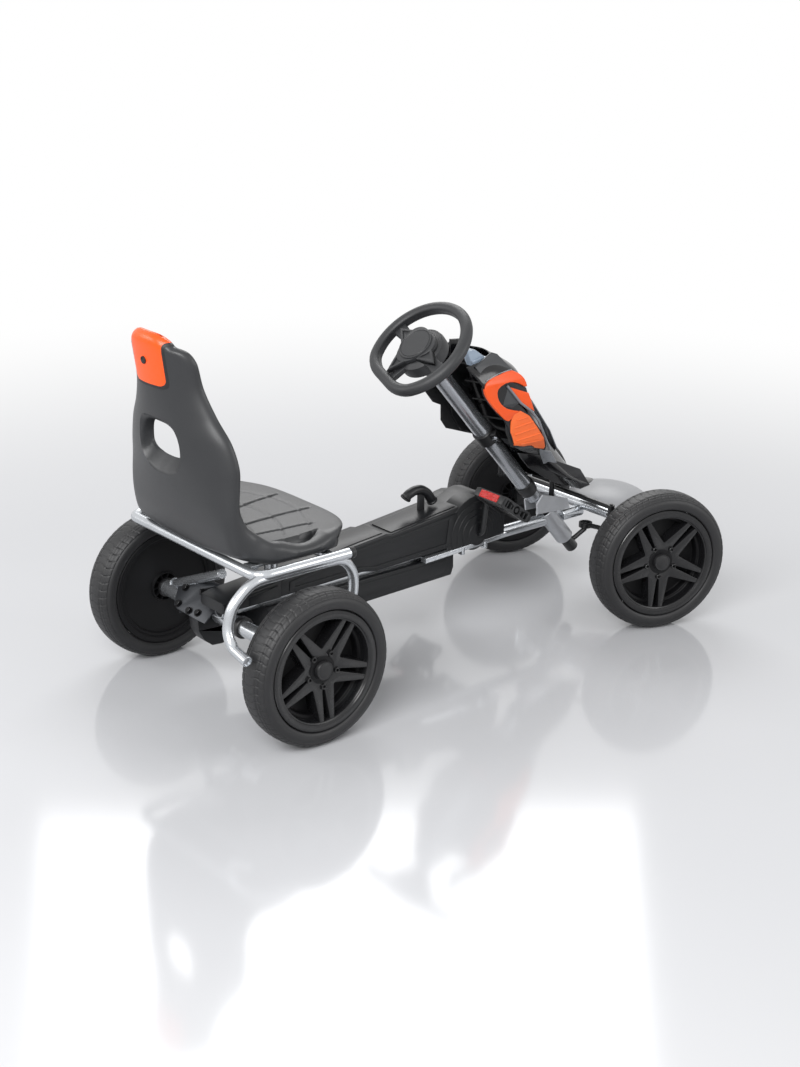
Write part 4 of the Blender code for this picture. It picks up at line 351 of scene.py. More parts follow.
def dress(material, *names):
    """Gives CAD pieces that are shown as they are the finish of the real ones."""
    for name in names:
        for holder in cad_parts[name].material_slots:
            holder.material = material


def weld(centre, toward, ring_radius, bead=0.0016, steps=40):
    """Weld bead: a slightly lumpy ring round a joint, its axis along a direction."""
    section = [(ring_radius + bead * cos(a), bead * sin(a)) for a in [2 * pi * i / 8 for i in range(8)]]
    shape = turned(section, steps)
    for vert in shape.verts:
        vert.co.z *= 1.0 + WELD_RIPPLE * sin(WELD_WAVES * atan2(vert.co.y, vert.co.x))
    return placed(shape, aim(centre, Vector(centre) + Vector(toward)))


# Zinc plating on drawn steel tube: pale silver, softly streaked along the draw, with a bright edge.
zinc_plate = moulded("zinc_plated_steel_drawn", "b3b6ba", "cfd2d6", (0.20, 0.27), (0.0020, 0.00001), 0.060,
                     Metallic=0.85)
# Turned bright steel: darker and more mirror-like than the plating.
bright_steel = moulded("carbon_steel_turned", "8d8f93", "b9bbbf", (0.18, 0.32), (0.0010, 0.00002), 0.02,
                       Metallic=1.0)
# Nylon, injection moulded: black and half matt.
nylon_black = moulded("nylon_moulded_black", "111112", "1b1b1d", (0.34, 0.50), (0.0010, 0.00004), 0.04)

right_tube = hollow_bar((0.0, -AXLE_TUBE_END_Y, WHEEL_Z), (0.0, RIGHT_TUBE_INNER_Y, WHEEL_Z), AXLE_TUBE_RADIUS,
                        AXLE_TUBE_BORE)
piece("axle_tube_right_dressed", right_tube, zinc_plate, "frame", ["axle_tube_right"])
left_tube = hollow_bar((0.0, LEFT_TUBE_INNER_Y, WHEEL_Z), (0.0, AXLE_TUBE_END_Y, WHEEL_Z), AXLE_TUBE_RADIUS,
                       AXLE_TUBE_BORE)
join(left_tube, bar(*BRACE), weld(BRACE[0], Vector(BRACE[1]) - Vector(BRACE[0]),
                                 BRACE[2] + BRACE_WELD_GROW))
piece("axle_tube_left_dressed", left_tube, zinc_plate, "frame", ["axle_tube_left"])
ring = hollow_bar((0.0, AXLE_RING[0], WHEEL_Z), (0.0, AXLE_RING[1], WHEEL_Z), AXLE_TUBE_RADIUS + AXLE_RING_WALL,
                  AXLE_TUBE_RADIUS + RING_FIT, AXLE_RING_ROUND)
piece("axle_ring", ring, nylon_black, "frame")
dress(bright_steel, "rear_axle", "rear_sprocket", "chainwheel", "chain", "brake_rod", "steering_shaft")
dress(nylon_black, "axle_bearing_left", "axle_bearing_right", "steering_bush_upper", "steering_bush_lower")


# Backbone and front cross tube
# Zinc-plated steel tube of 25 mm with the crank shell and the lever's lug welded on. The front cross
# tube ends in two upright bosses for the kingpins, and a stub joins it to the head tube.

BACKBONE_Z = 0.168
BACKBONE_RADIUS = 0.0125
BACKBONE_BORE = 0.0103
BACKBONE_ENDS = (-0.030, 0.7740)
CRANK_X = 0.560
CRANK_Z = 0.1965
CRANK_SHELL_HALF = 0.030
CRANK_SHELL_RADIUS = 0.018
CRANK_SHELL_BORE = 0.0082
LUG = ((0.4445, -0.0060, 0.1720), (0.4645, 0.0074, 0.2080))
LEVER_PIN = ((0.4545, 0.0, 0.200), (0.4545, 0.0170, 0.200), 0.003)
CROSS_Z = 0.183
CROSS_RADIUS = 0.011
BOSS_HALF = 0.0225
BOSS_RADIUS = 0.0116
KINGPIN_SECTION = [(0.0, 0.2152), (0.0050, 0.2150), (0.0080, 0.2135), (0.0080, 0.2101), (0.0050, 0.2101),
                   (0.0050, 0.1559), (0.0080, 0.1559), (0.0080, 0.1520), (0.0, 0.1509)]
STUB_START = 0.8230


def box(low, high, bevel=0.001, segments=2):
    """Block between two corners with rounded edges."""
    shape = bmesh.new()
    size = Vector(high) - Vector(low)
    middle = (Vector(high) + Vector(low)) / 2
    bmesh.ops.create_cube(shape, size=1.0, matrix=Matrix.Translation(middle) @ Matrix.Diagonal((*size, 1.0)))
    if bevel:
        bmesh.ops.bevel(shape, geom=shape.edges[:], offset=bevel, segments=segments, affect="EDGES", profile=0.5,
                        material=-1)
    return shape


backbone = hollow_bar((BACKBONE_ENDS[0], 0.0, BACKBONE_Z), (BACKBONE_ENDS[1], 0.0, BACKBONE_Z), BACKBONE_RADIUS,
                      BACKBONE_BORE)
join(backbone, hollow_bar((CRANK_X, -CRANK_SHELL_HALF, CRANK_Z), (CRANK_X, CRANK_SHELL_HALF, CRANK_Z),
                          CRANK_SHELL_RADIUS, CRANK_SHELL_BORE), box(*LUG), bar(*LEVER_PIN))
piece("backbone_dressed", backbone, zinc_plate, "frame", ["main_tube"])

cross = bar((WHEELBASE, -KINGPIN_Y, CROSS_Z), (WHEELBASE, KINGPIN_Y, CROSS_Z), CROSS_RADIUS)
join(cross, bar((STUB_START, 0.0, BACKBONE_Z), (WHEELBASE, 0.0, BACKBONE_Z), BACKBONE_RADIUS))
for sign in (-1, 1):
    y = sign * KINGPIN_Y
    join(cross, bar((WHEELBASE, y, CROSS_Z - BOSS_HALF), (WHEELBASE, y, CROSS_Z + BOSS_HALF), BOSS_RADIUS))
    pin = turned(KINGPIN_SECTION, 32, Matrix.Translation((WHEELBASE, y, 0.0)), closed=False)
    join(cross, pin, weld((WHEELBASE, y - sign * CROSS_RADIUS, CROSS_Z), (0, 1, 0), CROSS_RADIUS))
piece("front_cross_tube", cross, zinc_plate, "frame", ["front_axle_beam"])


# Rear bracket
# A sloping yoke of 3 mm sheet steel in dark grey paint, bolted over the sprocket, with a cheek down to
# the left axle tube. Black hexagon bolts hold it.

BRACKET_SLOPE = 0.9
BRACKET_Z = 0.1911
BRACKET_OUTLINE = [(-0.051, 0.014), (-0.0518, 0.040), (-0.051, 0.103), (-0.048, 0.117), (-0.023, 0.139),
                   (0.006, 0.066), (0.006, 0.038), (-0.022, 0.0375), (-0.031, 0.0140)]
BRACKET_SLOT = [(-0.012, 0.084), (0.001, 0.052), (-0.007, 0.046), (-0.020, 0.074)]
BRACKET_SHEET = 0.0015
CHEEK = [(-0.040, 0.131), (-0.017, 0.131), (-0.017, 0.1757), (-0.040, 0.1550)]
CHEEK_SIDES = (0.110, 0.113)
BRACKET_BOLTS = [(-0.044, 0.107), (-0.046, 0.070), (-0.043, 0.046), (-0.020, 0.118)]
BRACKET_BOLT = (0.0100, 0.0060)
BOLT_CHAMFER = 0.06
WASHER_RADIUS = 0.78
WASHER_HEIGHT = 0.0009
BOLT_SEAT = 0.0008


def side_slab(outline, y_low, y_high, bevel=0.0, segments=2, holes=()):
    """Outline in X and Z made solid from one Y to the other, its edges rounded."""
    return placed(slab(outline, -y_high, -y_low, bevel, segments, holes), Matrix.Rotation(radians(90), 4, "X"))


def hexagon_bolt(place, across, height):
    """Hexagon head with a chamfered top and a washer, standing along local Z."""
    head = slab([polar(across / sqrt(3), 0.0, 60 * i) for i in range(6)], BOLT_SEAT, height, across * BOLT_CHAMFER, 1)
    reach = across * WASHER_RADIUS
    join(head, turned([(0.0, 0.0), (reach, 0.0), (reach, WASHER_HEIGHT), (0.0, WASHER_HEIGHT)], 24, closed=False))
    return placed(head, place)


# Polyester powder coat, grey metallic: mid grey with a fine sparkle and a soft satin glare.
grey_paint = moulded("powder_coat_grey_metallic", "a3a6ab", "b4b7bc", (0.20, 0.28), (0.0011, 0.00001), 0.035,
                     Metallic=0.80)
# The same coat in a darker grey on the pressed yoke.
yoke_paint = moulded("powder_coat_dark_grey", "2e3033", "3e4044", (0.30, 0.40), (0.0011, 0.00002), 0.035,
                     Metallic=0.5)
# Black zinc on screws: almost black with a small hard glint.
black_zinc = moulded("black_zinc_screw", "101011", "1d1d1f", (0.25, 0.38), (0.0008, 0.00002), 0.02, Metallic=0.6)

slope = atan2(BRACKET_SLOPE, 1.0)
bracket_place = Matrix.Translation((0.0, 0.0, BRACKET_Z)) @ Matrix.Rotation(-slope, 4, "Y")
run = 1.0 / cos(slope)
yoke = slab([(x * run, y) for x, y in BRACKET_OUTLINE], -BRACKET_SHEET, BRACKET_SHEET, 0.0008, 2,
            [[(x * run, y) for x, y in BRACKET_SLOT]])
join(placed(yoke, bracket_place), side_slab(CHEEK, *CHEEK_SIDES, 0.0006))
piece("rear_bracket_dressed", yoke, yoke_paint, "frame", ["rear_bracket"])
bolts = bmesh.new()
for x, y in BRACKET_BOLTS:
    join(bolts, hexagon_bolt(bracket_place @ Matrix.Translation((x * run, y, BRACKET_SHEET)), *BRACKET_BOLT))
piece("rear_bracket_bolts", bolts, black_zinc, "frame")


# Seat frame
# Zinc-plated steel: a bent bar round the back of the seat, two flat rails on cross tubes under it, and
# a hoop on the right that runs down behind the rear wheel and ends in an open tube.

SEAT_TUBE_RADIUS = 0.0095
SEAT_TUBE_BORE = 0.0080
BAR_ROUTE = [(0.108, 0.1965, 0.307), (-0.084, 0.1965, 0.307), (-0.084, -0.1965, 0.307), (0.108, -0.1965, 0.307)]
BAR_BEND = 0.028
HOOP_ROUTE = [(-0.1485, -0.2500, 0.1920), (-0.1478, -0.2080, 0.2010), (-0.1455, -0.1910, 0.2250),
              (-0.1360, -0.1900, 0.2630), (-0.0980, -0.1930, 0.3005), (0.0960, -0.1940, 0.3005),
              (0.1225, -0.1920, 0.2680), (0.1240, -0.1890, 0.2150), (0.0720, -0.1770, 0.1720),
              (0.0190, -0.1650, 0.1600)]
HOOP_BEND = 0.060
MOUTH_REACH = (0.0030, 0.0005)
MOUTH_ROUND = 0.0004
PLUG_X = 0.1083
PLUG_SECTION = [(0.0, 0.0), (0.0104, 0.0), (0.0108, 0.0006), (0.0108, 0.0075), (0.0095, 0.0096), (0.0, 0.0100)]
RAIL_Y = 0.150
RAIL_HALF = 0.011
RAIL_TOP = 0.3131
RAIL_SHEET = 0.0045
RAIL_ENDS = (-0.0742, 0.0930)
CROSS_TUBE_X = 0.085
CROSS_TUBE_Z = 0.300
CROSS_TUBE_HALF = 0.1867
POST_FOOT_Z = 0.1808
REAR_STRAP_X = (-0.021, -0.001)
REAR_STRAP_Z = (0.3051, 0.3096)
SHEET_ROUND = 0.0008
SEAT_BOLT_X = (-0.064, 0.070)
SEAT_BOLT_Y = 0.156
SEAT_BOLT = (0.0100, 0.0055)


def rounded_path(points, bend, steps=8):
    """Line of points with every inner corner turned into an arc of a bend radius."""
    points = [Vector(point) for point in points]
    path = [points[0]]
    for before, corner, after in zip(points, points[1:], points[2:]):
        back, ahead = (before - corner).normalized(), (after - corner).normalized()
        angle = back.angle(ahead)
        reach = min(bend / tan(angle / 2), (before - corner).length * 0.49, (after - corner).length * 0.49)
        start, end = corner + back * reach, corner + ahead * reach
        for i in range(steps + 1):
            share = i / steps
            path.append(start.lerp(corner, share).lerp(corner.lerp(end, share), share))
    path.append(points[-1])
    return path


def skin(rows, wrap=True, caps=True):
    """Surface through rows of points, each of them a closed ring where it wraps."""
    rows = [list(row) + ([row[0]] if wrap else []) for row in rows]
    shape = bmesh.new()
    bmesh.ops.create_grid(shape, x_segments=len(rows[0]) - 1, y_segments=len(rows) - 1, size=1.0)
    for vert, point in zip(shape.verts, [point for row in rows for point in row]):
        vert.co = point
    bmesh.ops.remove_doubles(shape, verts=shape.verts, dist=1e-6)
    if caps:
        bmesh.ops.holes_fill(shape, edges=[edge for edge in shape.edges if edge.is_boundary])
    bmesh.ops.recalc_face_normals(shape, faces=shape.faces)
    return shape


def swept(path, section, closed=False):
    """Section of (side, up) points carried along a path without twist."""
    up = Vector((0.0, 0.0, 1.0))
    path = [Vector(point) for point in path]
    rows, side = [], None
    for i, point in enumerate(path):
        before = path[i - 1] if i or closed else point
        after = path[(i + 1) % len(path)] if i + 1 < len(path) or closed else point
        ahead = (after - before).normalized()
        if side is None:
            side = ahead.cross(up) if ahead.cross(up).length > 1e-4 else ahead.orthogonal()
        side = (side - ahead * side.dot(ahead)).normalized()
        over = side.cross(ahead)
        rows.append([point + side * u + over * v for u, v in section])
    if closed:
        rows.append(rows[0])
    return skin(rows, True, not closed)


def disc(radius, sides=24):
    """Round section of a swept tube."""
    return [(radius * cos(2 * pi * i / sides), radius * sin(2 * pi * i / sides)) for i in range(sides)]


seat_bar = swept(rounded_path(BAR_ROUTE, BAR_BEND), disc(SEAT_TUBE_RADIUS, 32))
piece("seat_bar_dressed", seat_bar, zinc_plate, "frame", ["seat_bar"])
for tag, side in (("right", -1), ("left", 1)):
    place = Matrix.Translation((PLUG_X, side * BAR_ROUTE[0][1], BAR_ROUTE[0][2])) @ Matrix.Rotation(radians(90), 4, "Y")
    plug = turned(PLUG_SECTION, 32, place, closed=False)
    piece("seat_bar_plug_" + tag + "_dressed", plug, nylon_black, "frame", ["seat_bar_plug_" + tag])

hoop_path = rounded_path(HOOP_ROUTE, HOOP_BEND)
hoop = swept(hoop_path, disc(SEAT_TUBE_RADIUS, 32))
inward = (hoop_path[1] - hoop_path[0]).normalized()
mouth = hollow_bar(hoop_path[0] - inward * MOUTH_REACH[0], hoop_path[0] + inward * MOUTH_REACH[1], SEAT_TUBE_RADIUS,
                   SEAT_TUBE_BORE, MOUTH_ROUND)
piece("side_hoop_dressed", join(hoop, mouth), zinc_plate, "frame", ["side_hoop"])

support = bar((CROSS_TUBE_X, -CROSS_TUBE_HALF, CROSS_TUBE_Z), (CROSS_TUBE_X, CROSS_TUBE_HALF, CROSS_TUBE_Z),
              SEAT_TUBE_RADIUS)
join(support, bar((CROSS_TUBE_X, 0.0, POST_FOOT_Z), (CROSS_TUBE_X, 0.0, CROSS_TUBE_Z), BACKBONE_RADIUS),
     box((REAR_STRAP_X[0], -RAIL_Y, REAR_STRAP_Z[0]), (REAR_STRAP_X[1], RAIL_Y, REAR_STRAP_Z[1]), SHEET_ROUND))
for side in (-1, 1):
    join(support, box((RAIL_ENDS[0], side * RAIL_Y - RAIL_HALF, RAIL_TOP - RAIL_SHEET),
                      (RAIL_ENDS[1], side * RAIL_Y + RAIL_HALF, RAIL_TOP), SHEET_ROUND))
piece("seat_support_dressed", support, zinc_plate, "frame", ["seat_support"])
seat_bolts = bmesh.new()
for side in (-1, 1):
    for x in SEAT_BOLT_X:
        join(seat_bolts, hexagon_bolt(Matrix.Translation((x, side * SEAT_BOLT_Y, RAIL_TOP - RAIL_SHEET))
                                      @ Matrix.Rotation(pi, 4, "X"), *SEAT_BOLT))
piece("seat_bolts", seat_bolts, bright_steel, "frame")


# Seat
# One blow-moulded polyethylene shell: a dished pan with pressed grooves and a crescent grip each side,
# and a tall back with a hand hole. It rests on the rails and is held by four bolts. Each station holds
# rear x, z in the middle and at the side, front x, z in the middle and at the side, and the half width.

SEAT_STATIONS = [
    (0.158, 0.3150, 0.100, 0.3110, 0.171, 0.3300, 0.107, 0.3300, 0.1640),
    (0.140, 0.3138, 0.088, 0.3085, 0.150, 0.3420, 0.094, 0.3430, 0.1800),
    (0.080, 0.3137, 0.044, 0.3080, 0.085, 0.3420, 0.048, 0.3460, 0.1865),
    (0.020, 0.3137, -0.004, 0.3080, 0.024, 0.3380, 0.002, 0.3480, 0.1865),
    (-0.040, 0.3137, -0.044, 0.3085, -0.030, 0.3360, -0.034, 0.3540, 0.1830),
    (-0.080, 0.3180, -0.080, 0.3210, -0.056, 0.3480, -0.052, 0.3700, 0.1660),
    (-0.104, 0.3270, -0.099, 0.3380, -0.081, 0.3640, -0.067, 0.3860, 0.1590),
    (-0.121, 0.3620, -0.108, 0.3720, -0.094, 0.3860, -0.076, 0.4040, 0.1550),
    (-0.132, 0.4040, -0.110, 0.4090, -0.103, 0.4140, -0.080, 0.4200, 0.1530),
    (-0.142, 0.4500, -0.106, 0.4500, -0.115, 0.4500, -0.078, 0.4500, 0.1525),
    (-0.149, 0.4850, -0.104, 0.4850, -0.122, 0.4850, -0.078, 0.4850, 0.1515),
    (-0.153, 0.5250, -0.108, 0.5250, -0.127, 0.5250, -0.084, 0.5250, 0.1380),
    (-0.157, 0.5650, -0.117, 0.5650, -0.131, 0.5650, -0.094, 0.5650, 0.1100),
    (-0.162, 0.6100, -0.127, 0.6100, -0.137, 0.6100, -0.105, 0.6100, 0.0890),
    (-0.168, 0.6540, -0.137, 0.6540, -0.143, 0.6540, -0.115, 0.6540, 0.0850),
    (-0.172, 0.6840, -0.145, 0.6800, -0.149, 0.6840, -0.125, 0.6800, 0.0760),
    (-0.169, 0.6980, -0.150, 0.6930, -0.157, 0.6980, -0.140, 0.6920, 0.0600)]
SEAT_COLUMNS = 181
EULER = 2.718
SEAT_ROW_STEP = 0.0030
SEAT_EDGE_POWER = 18
SEAT_END_ROUND = 0.011
SEAT_SIDE_CURVE = (4.2, 2.2)
SEAT_TOP_ROUND = (0.655, 0.020, 0.036, 0.014)
SEAT_TOP_Z = 0.698
SEAT_PAN_BLEND = (-0.100, 0.120)
PAN_LINES = [((-0.020, 0.034), (0.140, 0.048)), ((-0.055, 0.078), (0.095, 0.115))]
PAN_LINE_DEPTH = 0.0042
PAN_LINE_HALF = 0.0025
PAN_CROSS_X = (0.120, 0.062, 0.005, -0.050)
PAN_CROSS_BOW = 2.7
PAN_CROSS_DEPTH = 0.0016
PAN_CROSS_HALF = 0.0022
PAN_CROSS_END_Y = 0.130
PAN_BACK_X = -0.062
PAN_TOP_Z = 0.40
PAN_LINE_END = 0.006
GRIP_X = (-0.022, 0.080)
GRIP_Y = (0.1440, 0.0140)
GRIP_HALF = 0.0105
GRIP_DEPTH = 0.016
GRIP_LIP_DROP = 0.0075
GRIP_LIP_WIDTH = 0.010
BOLSTER_Y = 0.168
BOLSTER_HALF = 0.016
BOLSTER_HUMPS = [(0.128, 0.030, 0.0040), (-0.020, 0.034, 0.0045)]
HAND_HOLE = [(0.0, 0.5405), (0.026, 0.5390), (0.046, 0.5300), (0.0565, 0.5080), (0.0555, 0.4800), (0.0420, 0.4600),
             (0.0180, 0.4505), (0.0, 0.4495), (-0.0180, 0.4505), (-0.0420, 0.4600), (-0.0555, 0.4800),
             (-0.0565, 0.5080), (-0.0460, 0.5300), (-0.0260, 0.5390)]
HOLE_MIDDLE_Z = 0.495
CARVED_CREASE = 50.0
HOLE_FLOOR = (-0.1440, -0.1200, 0.38)
HOLE_FLARE = [(-0.1700, 1.34), (-0.1515, 1.24), (-0.1480, 1.13), (-0.1440, 1.05), (-0.1390, 1.0), (-0.1290, 1.0),
              (-0.1250, 0.98), (-0.1200, 0.97), (-0.1150, 1.00), (-0.0950, 1.00)]


def through(values, position):
    """Smooth value at a position along a list of equally spaced tuples."""
    index = max(0, min(int(position), len(values) - 2))
    share = position - index
    row = [values[max(index - 1, 0)], values[index], values[index + 1], values[min(index + 2, len(values) - 1)]]
    return [0.5 * (2 * b + (c - a) * share + (2 * a - 5 * b + 4 * c - d) * share ** 2
                   + (3 * b - a - 3 * c + d) * share ** 3) for a, b, c, d in zip(*row)]


def seat_row(station, columns, grow=0.0, limit=1.0, end=1.0, edge=SEAT_EDGE_POWER):
    """Ring round the seat at one station: along the rear or under side, and back along the front."""
    half = station[8]
    rear_line, front_line = [], []
    for k in range(columns):
        share = 2 * k / (columns - 1) - 1
        s = 0.5 * share + 0.5 * sin(pi / 2 * share)
        y = s * (min(half, limit) + grow)
        pan = max(0.0, min(1.0, (station[0] - SEAT_PAN_BLEND[0]) / SEAT_PAN_BLEND[1]))
        bend = min(1.0, abs(y) / half) ** (SEAT_SIDE_CURVE[1] + (SEAT_SIDE_CURVE[0] - SEAT_SIDE_CURVE[1]) * pan)
        rear, face = [Vector((station[i] + (station[i + 2] - station[i]) * bend, y,
                              station[i + 1] + (station[i + 3] - station[i + 1]) * bend)) for i in (0, 4)]
        middle, depth = (rear + face) / 2, (face - rear) / 2
        reach = depth * (1 + grow / depth.length) * end * max(0.0, 1 - abs(s) ** edge) ** 0.5
        rear_line.append(middle - reach)
        front_line.append(middle + reach)
    ring = rear_line + front_line[-2:0:-1]
    base, start, reach, fall = SEAT_TOP_ROUND
    for point in ring:
        rise = max(0.0, (point.z - base) / (SEAT_TOP_Z - base))
        point.z -= fall * rise * max(0.0, min(1.0, (abs(point.y) - start) / reach)) ** 2
    return ring


def near(value, centre, half):
    """Smooth hump: 1 at the centre, 0 beyond about twice the half width."""
    return EULER ** (-((value - centre) / half) ** 2)


def carved(made, cutter):
    """Cuts a shape, in the kart's frame, out of a finished piece."""
    bmesh.ops.translate(cutter, vec=(REAR_AXLE_X, 0.0, 0.0), verts=cutter.verts)
    mesh = bpy.data.meshes.new("cutter")
    cutter.to_mesh(mesh)
    cutter.free()
    tool = bpy.data.objects.new("cutter", mesh)
    bpy.context.scene.collection.objects.link(tool)
    cut = made.modifiers.new("cut", "BOOLEAN")
    cut.object = tool
    cut.solver = "EXACT"
    done = bpy.data.meshes.new_from_object(made.evaluated_get(bpy.context.evaluated_depsgraph_get()))
    made.modifiers.clear()
    made.data = done
    bpy.data.objects.remove(tool)
    done.shade_smooth()
    done.set_sharp_from_angle(angle=radians(CARVED_CREASE))
    return made


# High-density polyethylene, blow moulded: charcoal, soft satin sheen, very fine leather-like grain.
seat_plastic = moulded("polyethylene_blow_moulded", "242527", "2e2f31", (0.34, 0.46), (0.0014, 0.00008), 0.10)
# ABS, injection moulded in orange: strong colour with a clean satin gloss.
orange_plastic = moulded("abs_moulded_orange", "ee4d06", "fb5f14", (0.26, 0.36), (0.0012, 0.00002), 0.12)
# Dark recess trim, etched ABS: nearly black and flat.
trim_black = moulded("abs_etched_black", "141516", "1c1d1f", (0.45, 0.58), (0.0009, 0.00005), 0.04)

spans = [(Vector((a[0], 0.0, a[1])) - Vector((b[0], 0.0, b[1]))).length
         for a, b in zip(SEAT_STATIONS, SEAT_STATIONS[1:])]
positions = []
for index, span in enumerate(spans):
    count = max(3, round(span / SEAT_ROW_STEP))
    if index in (0, len(spans) - 1):
        count *= 2
    positions += [index + i / count for i in range(count)]
positions.append(len(spans))
rows = []
for position in positions:
    from_front = position * spans[0]
    from_top = (len(spans) - position) * spans[-1]
    near_end = min(1.0, min(from_front, from_top) / SEAT_END_ROUND)
    rows.append(seat_row(through(SEAT_STATIONS, position), SEAT_COLUMNS, end=(1 - (1 - near_end) ** 2) ** 0.5))
for row in rows:
    for point in row[SEAT_COLUMNS:]:
        x, y, z = point.x, abs(point.y), point.z
        if x > PAN_BACK_X and z < PAN_TOP_Z:
            drop = 0.0
            for (x0, y0), (x1, y1) in PAN_LINES:
                if x0 < x < x1:
                    line_y = y0 + (y1 - y0) * (x - x0) / (x1 - x0)
                    ends = min(1.0, (x - x0) / PAN_LINE_END, (x1 - x) / PAN_LINE_END)
                    drop += PAN_LINE_DEPTH * ends * near(y, line_y, PAN_LINE_HALF)
            if y < PAN_CROSS_END_Y:
                for line_x in PAN_CROSS_X:
                    drop += PAN_CROSS_DEPTH * near(x, line_x - PAN_CROSS_BOW * y * y, PAN_CROSS_HALF)
            for hump_x, reach, height in BOLSTER_HUMPS:
                drop -= height * near(x, hump_x, reach) * near(y, BOLSTER_Y, BOLSTER_HALF)
            if GRIP_X[0] < x < GRIP_X[1]:
                middle_x = sum(GRIP_X) / 2
                bow = 1 - ((x - middle_x) / (GRIP_X[1] - middle_x)) ** 2
                grip_y = GRIP_Y[0] + GRIP_Y[1] * bow
                inside = max(0.0, 1 - (abs(y - grip_y) / (GRIP_HALF * bow + 0.0005)) ** 4)
                drop += GRIP_DEPTH * inside * min(1.0, bow * 2)
                outer = max(0.0, min(1.0, (y - grip_y) / GRIP_LIP_WIDTH))
                drop += GRIP_LIP_DROP * bow * outer * (1 - inside)
            point.z -= drop
seat = piece("seat_shell", skin(rows, True, False), seat_plastic, "frame", ["seat"], crease=60)
hole_rows = []
for x, flare in HOLE_FLARE:
    ring = []
    for i in range(len(HAND_HOLE) * 5):
        looped = HAND_HOLE[-1:] + HAND_HOLE + HAND_HOLE[:2]
        y, z = through(looped, 1 + i / 5)
        start, end, least = HOLE_FLOOR
        lifted = 1 - (1 - least) * max(0.0, min(1.0, (x - start) / (end - start)))
        ring.append((x, y * flare, HOLE_MIDDLE_Z + (z - HOLE_MIDDLE_Z) * flare * (lifted if z < HOLE_MIDDLE_Z else 1)))
    hole_rows.append(ring)
carved(seat, skin(hole_rows))

CAP_BOTTOM_Z = 0.612
CAP_STATION = 13.0
CAP_STATION_Z = (0.610, 0.044)
CAP_STEPS = 46
CAP_EDGE_POWER = 14
CAP_LEAST = 0.25
SEAM_STEP = (0.0048, 0.0050)
SEAM_LIFT = 0.0020
CAP_HALF = 0.047
CAP_CORNER = 0.012
CAP_LIFT = 0.0030
CAP_SCREW = (-0.1705, 0.0, 0.652)
CAP_SCREW_SECTION = [(0.0, 0.0010), (0.0040, 0.0010), (0.0048, 0.0022), (0.0062, 0.0024), (0.0066, 0.0008),
                     (0.0066, -0.002), (0.0, -0.002)]


def cap_rows(grow, half, bottom, columns=61):
    """Rings over the top of the seat's back, narrower by a round at the lower corners."""
    made = []
    start = CAP_STATION + (bottom - CAP_STATION_Z[0]) / CAP_STATION_Z[1]
    for i in range(CAP_STEPS + 1):
        position = start + (len(SEAT_STATIONS) - 1 - start) * i / CAP_STEPS
        station = through(SEAT_STATIONS, position)
        lift = max(0.0, CAP_CORNER - (station[1] - bottom))
        width = half - CAP_CORNER + (CAP_CORNER ** 2 - min(lift, CAP_CORNER) ** 2) ** 0.5
        top = (len(SEAT_STATIONS) - 1 - position) * spans[-1]
        share = min(1.0, top / SEAT_END_ROUND)
        row = seat_row(station, columns, grow, width, max(CAP_LEAST, (1 - (1 - share) ** 2) ** 0.5), CAP_EDGE_POWER)
        raise_by = grow * (1 - share)
        made.append([point + Vector((0.0, 0.0, raise_by)) for point in row])
    return made


seam = skin(cap_rows(SEAM_LIFT, CAP_HALF + SEAM_STEP[0], CAP_BOTTOM_Z - SEAM_STEP[1]))
piece("seat_cap_seam", seam, trim_black, "frame")
cap = skin(cap_rows(CAP_LIFT, CAP_HALF, CAP_BOTTOM_Z))
piece("seat_cap_dressed", cap, orange_plastic, "frame", ["seat_cap"], crease=50)
toward_rear = Matrix.Translation(CAP_SCREW) @ Matrix.Rotation(radians(-94), 4, "Y")
screw = turned(CAP_SCREW_SECTION, 32, toward_rear, closed=False)
piece("seat_cap_screw", screw, trim_black, "frame")


# Casings
# Two polypropylene mouldings round the backbone and the chain. The upper one swells round the crank in
# concentric steps and has a slot for the brake lever. The lower one is a flat guard under the chain, and
# a zinc-plated flat bar with two clips runs between them on the right.

UPPER_TOP = [(0.080, 0.2103), (0.100, 0.212), (0.248, 0.237), (0.330, 0.245), (0.342, 0.2415), (0.510, 0.260),
             (0.542, 0.2735), (0.560, 0.2765), (0.578, 0.2735), (0.606, 0.257), (0.626, 0.240), (0.633, 0.215)]
UPPER_FOOT = [(0.630, 0.185), (0.305, 0.1755), (0.272, 0.182), (0.080, 0.1785)]
REAR_BOOT = [(-0.045, 0.1765), (-0.045, 0.197), (-0.032, 0.2005), (0.084, 0.2108), (0.084, 0.1775)]
RAISED_PANEL = [(0.100, 0.1860), (0.102, 0.2040), (0.246, 0.2290), (0.328, 0.2370), (0.344, 0.2335), (0.505, 0.2510),
                (0.498, 0.1880), (0.300, 0.1815), (0.268, 0.1880)]
PANEL_INSET = [(0.112, 0.1920), (0.113, 0.1990), (0.246, 0.2220), (0.326, 0.2295), (0.343, 0.2260), (0.484, 0.2410),
               (0.478, 0.1930), (0.298, 0.1875), (0.268, 0.1940)]
CRANK_STEPS = [(0.0780, -0.0352), (0.0660, -0.0366), (0.0520, -0.0378), (0.0400, -0.0392)]
CRANK_STEP_DEPTH = 0.0400
CRANK_STEP_ROUND = 0.001
CRANK_STEP_CUTS = (((0, 0, 0.1790), (0, 0, -1)), ((0.6310, 0, 0), (1, 0, 0)))
CRANK_FACE = (CRANK_X - 0.003, CRANK_Z + 0.001)
BOSS_Y = -0.0408
BOSS_SECTION = [(0.0, 0.0), (0.0230, 0.0), (0.0240, 0.0010), (0.0360, 0.0100), (0.0370, 0.0200), (0.0, 0.0200)]
UPPER_RIGHT = -0.034
UPPER_LEFT = 0.080
UPPER_STEP_Y = 0.040
UPPER_STEP_LAP = 0.006
UPPER_STEP = 0.016
